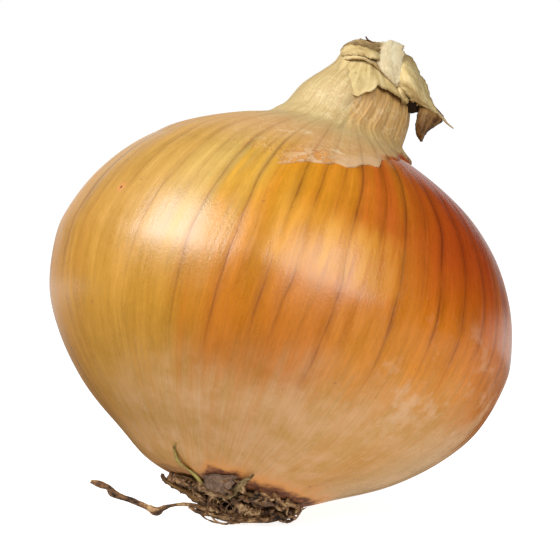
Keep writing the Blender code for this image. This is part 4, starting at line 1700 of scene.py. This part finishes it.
# The hooded leaf at the top left: the dark inside above its lip, and its pale face below it.
FLAP: Net = [
    [(-4.1, 0.6, 44.4), (-4.2, -0.8, 44.1), (-4.2, -2.2, 43.8)],
    [(-3.3, 1.2, 45.8), (-3.3, -1.2, 45.4), (-3.1, -3.3, 44.7)],
    [(-1.9, 1.4, 47.1), (-1.9, -1.6, 46.5), (-1.8, -4.4, 45.1)],
    [(-0.6, 1.4, 47.5), (-0.6, -1.8, 46.7), (-0.4, -4.8, 45.1)],
    [(0.8, 1.0, 47.6), (1.0, -2.0, 46.6), (1.2, -4.6, 44.9)],
    [(2.2, 1.4, 47.9), (2.4, -0.6, 47.2), (2.5, -2.4, 45.9)],
]
HOOD: Net = [
    [(-4.2, -2.3, 43.9), (-4.0, -2.5, 43.3), (-3.6, -2.6, 42.8)],
    [(-3.1, -3.4, 44.8), (-2.8, -4.4, 43.9), (-2.4, -4.7, 43.0)],
    [(-1.8, -4.5, 45.1), (-1.4, -5.4, 44.2), (-0.9, -5.5, 43.3)],
    [(-0.4, -4.9, 45.1), (0.0, -5.7, 44.3), (0.5, -5.8, 43.4)],
    [(1.4, -4.8, 44.9), (1.6, -5.6, 44.3), (2.0, -5.8, 43.5)],
    [(2.5, -2.6, 45.8), (2.7, -3.2, 45.1), (3.1, -3.8, 44.3)],
]
STRAP: Net = [
    [(2.5, 1.5, 47.2), (3.8, 1.5, 48.2), (5.6, 1.2, 48.0)],
    [(2.0, -0.3, 47.8), (3.7, -0.5, 48.5), (5.8, -0.6, 48.3)],
    [(1.6, -3.2, 45.4), (3.6, -3.8, 46.2), (6.1, -2.8, 47.1)],
    [(1.5, -5.0, 44.0), (4.1, -5.7, 44.2), (6.6, -4.6, 45.2)],
    [(2.7, -5.9, 42.5), (4.8, -6.5, 42.6), (7.0, -5.6, 43.2)],
    [(4.3, -6.0, 41.6), (5.5, -6.4, 41.6), (7.0, -5.9, 41.7)],
    [(5.6, -5.9, 40.8), (6.1, -6.1, 40.7), (6.8, -5.8, 40.6)],
    [(6.5, -5.7, 40.4), (6.7, -5.7, 40.3), (6.8, -5.7, 40.3)],
]
PUFFY_LEAF: Net = [
    [(4.1, -1.8, 45.7), (5.4, -0.4, 47.0), (6.1, 1.5, 47.6)],
    [(4.4, -4.2, 44.0), (6.5, -3.8, 45.5), (7.7, 0.6, 47.0)],
    [(5.0, -5.4, 42.5), (7.6, -5.8, 43.8), (9.4, -0.4, 45.5)],
    [(6.4, -5.8, 40.9), (8.8, -6.9, 42.1), (10.7, -1.2, 44.0)],
    [(9.0, -5.4, 39.3), (10.3, -7.0, 40.4), (11.8, -1.8, 42.3)],
    [(11.2, -4.8, 38.7), (11.9, -5.8, 39.5), (13.0, -2.4, 41.0)],
    [(12.8, -4.0, 38.8), (13.2, -4.0, 39.3), (14.1, -3.0, 39.5)],
    [(14.5, -3.2, 38.5), (14.7, -3.0, 38.7), (15.0, -2.8, 38.8)],
]
# The small upright fold where the collar's lip meets the puffy leaf.
COLLAR_FOLD: Net = [
    [(6.7, -4.8, 40.4), (7.0, -5.4, 40.6), (7.6, -5.0, 40.8)],
    [(7.1, -5.4, 39.6), (7.5, -6.3, 39.6), (8.2, -5.2, 40.1)],
    [(7.8, -5.6, 38.7), (8.2, -6.4, 38.6), (8.8, -5.2, 39.4)],
    [(8.1, -5.2, 37.9), (8.6, -5.6, 37.9), (9.0, -5.0, 38.9)],
]
# A sheet of painted shadow in the hollow under the puffy leaf, near black to stand in for the shade there.
HOLLOW_SHADE: Net = [
    [(7.7, -3.6, 39.8), (9.1, -4.0, 40.2), (11.4, -3.2, 40.4)],
    [(8.3, -3.8, 38.9), (9.8, -4.2, 39.3), (11.9, -3.2, 39.5)],
    [(9.0, -3.4, 37.9), (10.4, -3.6, 38.2), (11.9, -3.0, 38.4)],
    [(9.8, -2.8, 37.2), (10.8, -2.9, 37.4), (11.7, -2.8, 37.9)],
]
HANGING_TIP: Net = [
    [(11.4, -3.6, 38.9), (12.7, -3.8, 39.0), (14.5, -3.2, 38.7)],
    [(11.5, -3.8, 37.7), (13.1, -4.6, 37.9), (16.0, -2.6, 37.7)],
    [(11.7, -3.8, 35.9), (13.1, -4.6, 36.3), (15.3, -2.8, 36.8)],
    [(12.1, -3.6, 34.6), (13.1, -4.2, 34.8), (14.3, -3.0, 35.5)],
    [(12.8, -3.2, 33.7), (13.4, -3.5, 33.7), (13.9, -3.0, 34.3)],
    [(13.5, -3.0, 33.2), (13.6, -3.0, 33.2), (13.7, -3.0, 33.3)],
]
# The inner leaf that shows between the flap and the collar, from under the flap to its own free edge.
COWL: Net = [
    [(-3.9, -0.5, 43.2), (-2.8, -3.6, 43.9), (-0.2, -4.2, 44.7), (2.9, -3.6, 44.4), (5.6, -2.6, 43.0)],
    [(-4.2, -0.8, 42.5), (-2.5, -4.6, 43.1), (0.2, -5.0, 43.7), (3.5, -4.6, 43.0), (6.3, -3.6, 41.7)],
    [(-4.3, -1.2, 41.7), (-2.6, -5.1, 42.3), (0.3, -6.0, 42.9), (3.8, -5.8, 41.9), (6.9, -5.0, 40.3)],
]
LEAF_THREAD = ((14.4, -3.0, 39.0), (15.7, -3.0, 38.3), (16.8, -3.2, 37.6), (18.1, -3.2, 37.1))
# Dark withered points, as their two ends and the radius at the first.
SPIKES = (
    ((0.2, -0.2, 46.9), (-0.9, -0.4, 47.8), 0.26), ((-0.7, -0.5, 46.5), (-1.7, -0.8, 47.1), 0.24),
    ((2.0, -0.3, 46.8), (-0.4, -0.6, 47.4), 0.3), ((1.6, -1.2, 46.6), (-0.9, -1.6, 46.9), 0.22),
    ((13.4, -2.8, 39.7), (15.9, -2.8, 38.6), 0.42), ((9.0, -1.5, 36.4), (10.1, -1.8, 36.2), 0.4),
)


@dataclass
class Crown:
    """The withered leaf ends on top of the neck, with a sheet of painted shadow under the puffy leaf."""

    papers: dict[Tone, Material]
    leaves: tuple[Leaf, ...] = (
        Leaf(
            "cowl_leaf", COWL, Tone.STRAW, 31.0, columns=80, rows=34, crumple=0.12, curl=0.1, ragged=0.2,
            ribs=0.03,
        ),
        Leaf(
            "flap_leaf", FLAP, Tone.DUN, 32.0, columns=60, rows=80, crumple=0.16, curl=0.06, ragged=0.2,
            ribs=0.04,
        ),
        Leaf(
            "hood_leaf", HOOD, Tone.KHAKI, 38.0, columns=50, rows=90, crumple=0.14, curl=0.12, ragged=0.3,
            ribs=0.04,
        ),
        Leaf(
            "strap_leaf", STRAP, Tone.CREAM, 33.0, columns=60, rows=90, crumple=0.16, curl=0.08,
            ribs=0.05,
        ),
        Leaf(
            "puffy_leaf", PUFFY_LEAF, Tone.KHAKI, 34.0, columns=76, rows=100, crumple=0.3, curl=0.14,
            ribs=0.05,
        ),
        Leaf(
            "collar_fold", COLLAR_FOLD, Tone.STRAW, 36.0, columns=34, rows=40, crumple=0.1, curl=0.06,
            ragged=0.2, ribs=0.03,
        ),
        # Not a leaf: a near-black sheet of painted shadow in the hollow under the puffy leaf.
        Leaf(
            "hollow_leaf", HOLLOW_SHADE, Tone.SOOT, 37.0, columns=34, rows=34, crumple=0.14, curl=0.05,
            ragged=0.25, ribs=0.03,
        ),
        Leaf(
            "hanging_tip", HANGING_TIP, Tone.UMBER, 35.0, columns=50, rows=66, crumple=0.18, curl=0.12,
            ragged=0.2, ribs=0.05,
        ),
    )

    def build(self) -> None:
        """Makes the leaves, the sheet of painted shadow, the knot and the dark spikes and thread."""
        for leaf in self.leaves:
            leaf.build("dry_leaves", self.papers)
        Knot().build(self.papers)
        spikes = []
        for foot, tip, thick in SPIKES:
            path = through(np.array([foot, tip]), np.linspace(0, 1, 5))
            spikes.append((PLACE.leaning(path), np.linspace(thick, 0.1, 5)))
        for name, strands, tone in (
            ("crown_spikes", spikes, Tone.UMBER),
            ("leaf_thread", [(PLACE.leaning(np.array(LEAF_THREAD)), [0.3, 0.3, 0.2, 0.1])], Tone.CREAM),
        ):
            grower = StrandTree(name + "_tree", kink=0.3, wrinkle=0.15)
            mesh = grower.grow(name, strands, self.papers[tone], 3.0)
            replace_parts(finished(name, mesh, self.papers[tone]), "dry_leaves")


# -------- the roots


# The root plate, in the bulb's frame.
PLATE_MIDDLE = (3.0, 0.0, -35.0)
PLATE_RADIUS = 9.2
# The matted tuft, about the bulb's middle with z upright, as are the long root and the loops.
TUFT_MIDDLE = (-5.2, -3.2, -35.2)
TUFT_SIZE = (9.8, 9.0, 2.1)
LONG_ROOT = (
    (-9.0, -7.0, -35.2), (-12.5, -7.3, -34.0), (-15.9, -7.4, -33.2), (-18.4, -7.4, -33.4),
    (-19.9, -7.4, -33.9), (-21.0, -7.4, -34.4), (-22.6, -7.3, -33.6), (-25.0, -7.2, -32.6),
    (-27.1, -7.1, -31.9), (-28.3, -7.0, -31.3), (-29.0, -7.0, -30.4), (-30.4, -6.9, -29.9),
    (-31.9, -6.8, -29.4),
)
LONG_ROOT_RADII = (0.6, 0.5, 0.34, 0.28, 0.5, 0.78, 0.5, 0.5, 0.52, 0.74, 0.46, 0.62, 0.3)
# Wiry roots that loop out of the tuft near the ground, each with its radius.
LOOPS = (
    (0.3, (
        (-15.5, -7.2, -33.6), (-14.0, -7.4, -34.5), (-12.3, -7.8, -34.9), (-10.6, -8.2, -35.0),
        (-9.3, -8.2, -35.6),
    )),
    (0.16, (
        (-11.8, -8.4, -34.9), (-10.9, -8.8, -35.9), (-9.4, -9.0, -36.3), (-8.3, -9.0, -35.8),
        (-7.7, -8.8, -34.8),
    )),
    (0.14, (
        (-13.8, -7.6, -34.6), (-12.6, -7.8, -35.6), (-10.8, -8.0, -36.2), (-8.8, -8.4, -36.3),
        (-7.0, -8.4, -36.2),
    )),
    (0.15, (
        (0.3, -5.0, -36.0), (1.5, -5.2, -36.3), (2.5, -5.2, -35.7), (2.9, -5.0, -34.7),
        (2.2, -4.6, -34.0),
    )),
)
# The withered scale that sticks out at the left, about the bulb's middle with z upright.
LEFT_WING: Net = [
    [(-11.4, -7.2, -33.6), (-11.6, -7.8, -32.4), (-11.8, -7.2, -31.2)],
    [(-13.3, -7.6, -32.9), (-13.4, -8.4, -31.8), (-13.6, -7.4, -30.7)],
    [(-15.2, -7.8, -32.2), (-15.3, -8.6, -31.2), (-15.6, -7.6, -30.1)],
    [(-17.1, -8.0, -31.2), (-17.2, -8.6, -30.4), (-17.3, -7.8, -29.6)],
    [(-18.7, -8.0, -30.1), (-18.7, -8.3, -29.7), (-18.6, -7.8, -29.1)],
    [(-19.6, -8.0, -29.3), (-19.5, -8.1, -29.1), (-19.3, -7.9, -29.0)],
    [(-20.1, -8.0, -28.5), (-19.9, -8.0, -28.5), (-19.8, -7.9, -28.5)],
    [(-20.0, -8.0, -28.0), (-19.9, -8.0, -28.0), (-19.8, -7.9, -28.0)],
]
# The papery scales round the plate: first and last azimuth, how far out each side reaches, and the tone.
SCALES = (
    (-16, 7, 12.6, 15.6, Tone.SLATE), (9, 14, 15.0, 17.4, Tone.DUN), (16, 34, 12.0, 13.0, Tone.UMBER),
    (40, 62, 12.6, 12.0, Tone.SLATE), (70, 98, 12.4, 12.0, Tone.UMBER), (-58, -28, 9.2, 10.2, Tone.UMBER),
    (110, 150, 12.2, 12.0, Tone.UMBER), (165, 215, 12.0, 11.4, Tone.SLATE),
)
# The green shred's line over the skin, as azimuth, radius and half its width in millimetres.
SHRED = (
    (-26, 7.0, 0.8), (-25, 10.0, 0.75), (-28, 12.5, 0.65), (-32, 14.3, 0.5), (-33.4, 15.8, 0.34),
    (-33.6, 17.0, 0.22), (-30.2, 18.3, 0.08),
)


@dataclass
class RootTuft:
    """The pressed tuft of dry roots, with papery scales round the root plate."""

    papers: dict[Tone, Material]
    thick_roots: int = 100
    thin_roots: int = 60
    rim_roots: int = 120
    seed: int = 7
    strides: int = 13
    stride: float = 0.95
    wander: float = 0.62
    # How far the tuft is flat on the ground to each side, and how fast it rises past that.
    flat: float = 3.0
    rise: float = 0.03

    def bed(self, spot: Array, gap: float) -> Array:
        """How low the tuft hangs: this gap off the ground in its middle, and clear of it at its ends."""
        aside, back = spot[..., 0] - TUFT_MIDDLE[0], spot[..., 1] - TUFT_MIDDLE[1]
        rise = self.rise * (np.maximum(0.0, aside**2 - self.flat**2) + 0.4 * back**2)
        return -PLACE.middle.z / MM + gap + rise

    def core(self) -> Array:
        """The matted middle of the tuft, flat on the ground.

        Returns:
            Rows of points about the bulb's middle, with z upright.
        """
        form = ball(150)[2]
        lumps = 0.16 * rough(form * 2.2, 7.0, 1) + 0.1 * rough(form * 6, 8.0, 2)
        points = form * (1 + lumps - 0.12)[..., None] * TUFT_SIZE + TUFT_MIDDLE
        points[..., 2] = np.maximum(points[..., 2], self.bed(points, 0.05))
        return points

    def root(self, draw: random.Random, thick: float) -> Strand:
        """One root's way from the plate down to the ground, wandering as it dries.

        Args:
            draw: Where the chances come from.
            thick: The root's radius at the plate, in millimetres.

        Returns:
            Its points in the row frame and its radii.
        """
        angle = draw.uniform(0, 360)
        reach = PLATE_RADIUS * math.sqrt(draw.uniform(0.05, 1.0))
        spot = PLACE.turned(np.array(PLATE_MIDDLE) + round_point(reach, angle, 0.2))
        heading, drop = math.radians(angle - 90) + draw.gauss(0, 0.7), draw.uniform(0.12, 0.4)
        path = [spot]
        for _ in range(self.strides):
            out = (spot - TUFT_MIDDLE) / TUFT_SIZE
            heading += draw.gauss(0, self.wander)
            if math.hypot(out[0], out[1]) > 0.86:
                inward = math.atan2(-out[1], -out[0])
                heading += 0.55 * math.remainder(inward - heading, 2 * math.pi)
            way = np.array([math.cos(heading), math.sin(heading), 0.0])
            spot = spot + way * self.stride
            bed = self.bed(spot, 0.1) + thick
            spot[2] = max(bed, bed + (spot[2] - bed) * (1 - drop) + draw.gauss(0, 0.28))
            path.append(spot)
        return PLACE.upright(np.array(path)), np.linspace(thick, 0.35 * thick, len(path))

    def rim_root(self, draw: random.Random) -> Strand:
        """A short curled root pressed against the skin beside the plate.

        Args:
            draw: Where the chances come from.

        Returns:
            Its points in the row frame and its radii.
        """
        azimuth = draw.choice((draw.uniform(14, 95), draw.uniform(-185, -60), draw.uniform(-60, 14)))
        left = -165 < azimuth < 12
        widest = 8.6 if left else 12.8 + 1.4 * math.cos(math.radians(azimuth - 45))
        radius, lift = draw.uniform(6.0, widest), draw.uniform(0.2, 1.0)
        heading, thick = draw.uniform(0, 2 * math.pi), draw.uniform(0.28, 0.62)
        path = []
        for _ in range(9):
            path.append(FORM.at(FORM.share_at(radius, upper=False), np.array(azimuth), lift))
            heading += draw.gauss(0, 0.8)
            azimuth += math.degrees(0.75 * math.cos(heading) / radius)
            radius = min(max(radius + 0.75 * math.sin(heading), 5.0), widest)
            lift = min(max(lift + draw.gauss(0, 0.45), 0.2), 1.4 if left else 2.6)
        return PLACE.leaning(np.array(path)), np.linspace(thick, 0.4 * thick, len(path))

    def scale_net(self, first: float, last: float, near: float, far: float) -> Net:
        """Rows of a papery scale that comes from under the plate and leans on the skin.

        Args:
            first: The azimuth of its first side.
            last: The azimuth of its last side.
            near: How far out its first side reaches.
            far: How far out its last side reaches.

        Returns:
            The rows, from its root to its rim.
        """
        sides = ((first, near), ((first + last) / 2, (near + far) / 2), (last, far))
        rows = []
        for share, lift in ((0.0, 1.4), (0.35, 1.0), (0.7, 0.6), (1.0, 0.5)):
            reaches = [FORM.share_at(5.0 + (radius - 5.0) * share, upper=False) for _, radius in sides]
            rows.append([tuple(FORM.at(t, np.array(turn), lift)) for t, (turn, _) in zip(reaches, sides)])
        return rows

    def wiry(self) -> list[Strand]:
        """The long knobbly root and the wiry loops beside it.

        Returns:
            The strands.
        """
        way = np.linspace(0, 1, 40)
        girths = through(np.array(LONG_ROOT_RADII)[:, None], way)[:, 0]
        strands = [(PLACE.upright(through(np.array(LONG_ROOT), way)), girths)]
        for radius, line in LOOPS:
            path = through(np.array(line), np.linspace(0, 1, 24))
            strands.append((PLACE.upright(path), np.full(len(path), radius)))
        return strands

    def shred_net(self) -> Net:
        """The green shred, which lies over the skin.

        Returns:
            Rows of points in the bulb's frame.
        """
        rows = []
        for turn, radius, half in SHRED:
            share = FORM.share_at(radius, upper=False)
            aside = math.degrees(half / radius)
            rows.append([tuple(FORM.at(share, np.array(turn + side * aside), 0.3)) for side in (-1, 0, 1)])
        return rows

    def build(self) -> None:
        """Makes the tuft, its roots, the scales, the wing and the shred."""
        finish = RootFinish().material()
        mesh = rings("root_mat", PLACE.upright(self.core()))
        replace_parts(finished("root_mat", mesh, finish), "roots")
        draw = random.Random(self.seed)
        thick = [self.root(draw, draw.uniform(0.26, 0.6)) for _ in range(self.thick_roots)]
        thin = [self.root(draw, draw.uniform(0.1, 0.18)) for _ in range(self.thin_roots)]
        rim = [self.rim_root(draw) for _ in range(self.rim_roots)]
        for name, strands, grower in (
            ("thick_roots", thick, StrandTree("thick_root_tree", kink=0.9, wrinkle=0.5)),
            ("rim_roots", rim, StrandTree("rim_root_tree", kink=0.5, wrinkle=0.6)),
            ("thin_roots", thin, StrandTree("thin_root_tree", sides=5, kink=1.2, wrinkle=0.08)),
            ("long_root", self.wiry(), StrandTree("long_root_tree", 10, step=0.25, kink=0.3, wrinkle=0.3)),
        ):
            grown = grower.grow(name, strands, finish, 11.0)
            self.settle(grown)
            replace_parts(finished(name, grown, finish), "roots")
        papery = [
            Leaf(
                f"root_scale_{i}", self.scale_net(first, last, near, far), tone, 41.0 + i,
                crumple=0.26, curl=0.22, ribs=0.05, ragged=0.55,
            )
            for i, (first, last, near, far, tone) in enumerate(SCALES)
        ]
        papery += [
            Leaf("left_wing", LEFT_WING, Tone.UMBER, 51.0, columns=30, crumple=0.14, leaning=False),
            Leaf(
                "green_shred", self.shred_net(), Tone.GREEN, 52.0, columns=14, crumple=0.08, thickness=0.16,
                ragged=0.1,
            ),
        ]
        for leaf in papery:
            leaf.build("roots", self.papers)

    def settle(self, mesh: Mesh) -> None:
        """Presses whatever is under the ground flat onto it."""
        for vert in mesh.vertices:
            vert.co.z = max(vert.co.z, 0.0)


# -------- the studio


@dataclass(frozen=True)
class Panel:
    """A soft rectangular light that faces the bulb, placed in degrees and metres."""

    name: str
    bearing: float
    height: float
    distance: float
    size: tuple[float, float]
    glow: float

    def build(self) -> None:
        """Sets up the light."""
        light = bpy.data.lights.new(self.name, "AREA")
        light.shape = "RECTANGLE"
        light.size, light.size_y = self.size
        light.energy = self.glow * math.pi * self.size[0] * self.size[1]
        lamp = linked(self.name, light)
        bearing, height = math.radians(self.bearing), math.radians(self.height)
        aside, front = math.sin(bearing) * math.cos(height), -math.cos(bearing) * math.cos(height)
        way = Vector((aside, front, math.sin(height)))
        lamp.location = PLACE.middle + way * self.distance
        lamp.rotation_euler = way.to_track_quat("Z", "Y").to_euler()


@dataclass
class Studio:
    """A pale floor and surroundings, with one soft light at the left and a weaker one at the right."""

    elevation: float = 3.0
    distance: float = 0.6
    lens: float = 229.0
    shift: Point = (-0.3, 0.0, 3.9)
    near_clip: float = 0.01
    panels: tuple[Panel, ...] = (
        Panel("key", -61, 40, 0.8, (0.66, 0.54), 6.9),
        Panel("fill", 25, 26, 0.9, (0.66, 0.7), 3.6),
    )
    # The floor's own shade as it is seen, and as it throws light back.
    floor_shade: float = 0.5
    floor_dull: float = 0.04
    floor_glow: float = 0.86
    floor_reach: float = 30.0
    # Where light pools on the floor, and how strongly it lights the bulb from below.
    pool: Point = (0.06, 0.0, 0.0)
    bounce: float = 1.24
    # The room's darkness, its soft light, the brightness behind the bulb and how far that leans left.
    room: float = 0.02
    daylight: float = 0.35
    backdrop: float = 0.95
    backdrop_turn: float = -0.12

    def floor(self) -> Piece:
        """The pale floor.

        Returns:
            The floor. It glows evenly to the camera and in a pool to the bulb.
        """
        reach = self.floor_reach
        mesh = bpy.data.meshes.new("floor")
        corners = [(-reach, -reach, 0), (reach, -reach, 0), (reach, reach, 0), (-reach, reach, 0)]
        mesh.from_pydata(corners, [], [(0, 1, 2, 3)])
        floor = linked("floor", mesh)
        graph = Dressing("pale floor", specular=0.0)
        graph.wire(0.9, graph.shader["Roughness"])
        graph.wire((1.0, 1.0, 1.0), graph.shader["Emission Color"])
        spot = graph.spot()
        away = graph.fed("ShaderNodeVectorMath", {0: spot, 1: self.pool}, "Value", operation="DISTANCE")
        x, y, _ = graph.split(spot)
        ray = graph.node("ShaderNodeLightPath").outputs
        shade = graph.mapped(ray["Is Camera Ray"], 0.0, 1.0, self.floor_dull, self.floor_shade)
        graph.wire(graph.joined(shade, shade, shade), graph.shader["Base Color"])
        below = graph.mapped(away, 0.06, 0.24, self.bounce, 0.0)
        behind = graph.mapped(y, 0.04, 0.3, 0.0, self.floor_glow)
        behind = graph.times(behind, graph.mapped(away, 0.5, 3.0, 1.0, 0.1))
        beside = graph.times(graph.mapped(x, 0.04, 0.12), graph.mapped(away, 0.06, 0.2, 0.35, 0.0))
        mirrored = graph.math("MAXIMUM", behind, beside)
        seen = graph.times(ray["Is Camera Ray"], self.floor_glow)
        glow = graph.summed(seen, (ray["Is Diffuse Ray"], below), (ray["Is Glossy Ray"], mirrored))
        graph.wire(glow, graph.shader["Emission Strength"])
        mesh.materials.append(graph.material)
        return floor

    def surroundings(self) -> bpy.types.World:
        """The white room, dark to the bulb's gloss apart from the wall behind it.

        Returns:
            The world.
        """
        world = bpy.data.worlds.new("studio")
        world.use_nodes = True
        graph = Graph(world.node_tree)
        back = world.node_tree.nodes["Background"].inputs
        way = graph.node("ShaderNodeTexCoord").outputs["Generated"]
        x, y, _ = graph.split(way)
        behind = graph.mapped(graph.summed(y, (x, self.backdrop_turn)), 0.82, 1.0, self.room, self.backdrop)
        ray = graph.node("ShaderNodeLightPath").outputs
        soft = graph.times(ray["Is Diffuse Ray"], self.daylight)
        light = graph.math("MAXIMUM", graph.math("MAXIMUM", behind, soft), ray["Is Camera Ray"])
        graph.wire(light, back["Strength"])
        graph.wire((1.0, 1.0, 1.0), back["Color"])
        return world

    def camera(self) -> Piece:
        """The camera, which looks a little down at the bulb.

        Returns:
            The camera.
        """
        camera = linked("camera", bpy.data.cameras.new("camera"))
        target = PLACE.middle + Vector(self.shift) * MM
        tilt = math.radians(self.elevation)
        camera.location = target + Vector((0, -math.cos(tilt), math.sin(tilt))) * self.distance
        camera.rotation_euler = (math.pi / 2 - tilt, 0, 0)
        camera.data.lens = self.lens
        camera.data.clip_start = self.near_clip
        return camera

    def build(self) -> None:
        """Sets the floor, the lights, the surroundings and the camera."""
        scene = bpy.context.scene
        self.floor()
        for panel in self.panels:
            panel.build()
        scene.world = self.surroundings()
        scene.view_settings.view_transform = "Standard"
        scene.camera = self.camera()


def main() -> None:
    """Builds the onion's pieces and the studio."""
    logging.basicConfig(level=logging.INFO, format="%(name)s: %(message)s")
    for make in (make_bulb_place, make_veins, make_fibres, make_creases, SkinShades().make):
        make()
    papers = {tone: PaperFinish(tone).material() for tone in Tone}
    BulbSkin().build()
    NeckSkin().build()
    TornCollar().build()
    Crown(papers).build()
    RootTuft(papers).build()
    Studio().build()


if __name__ == "__main__":
    main()
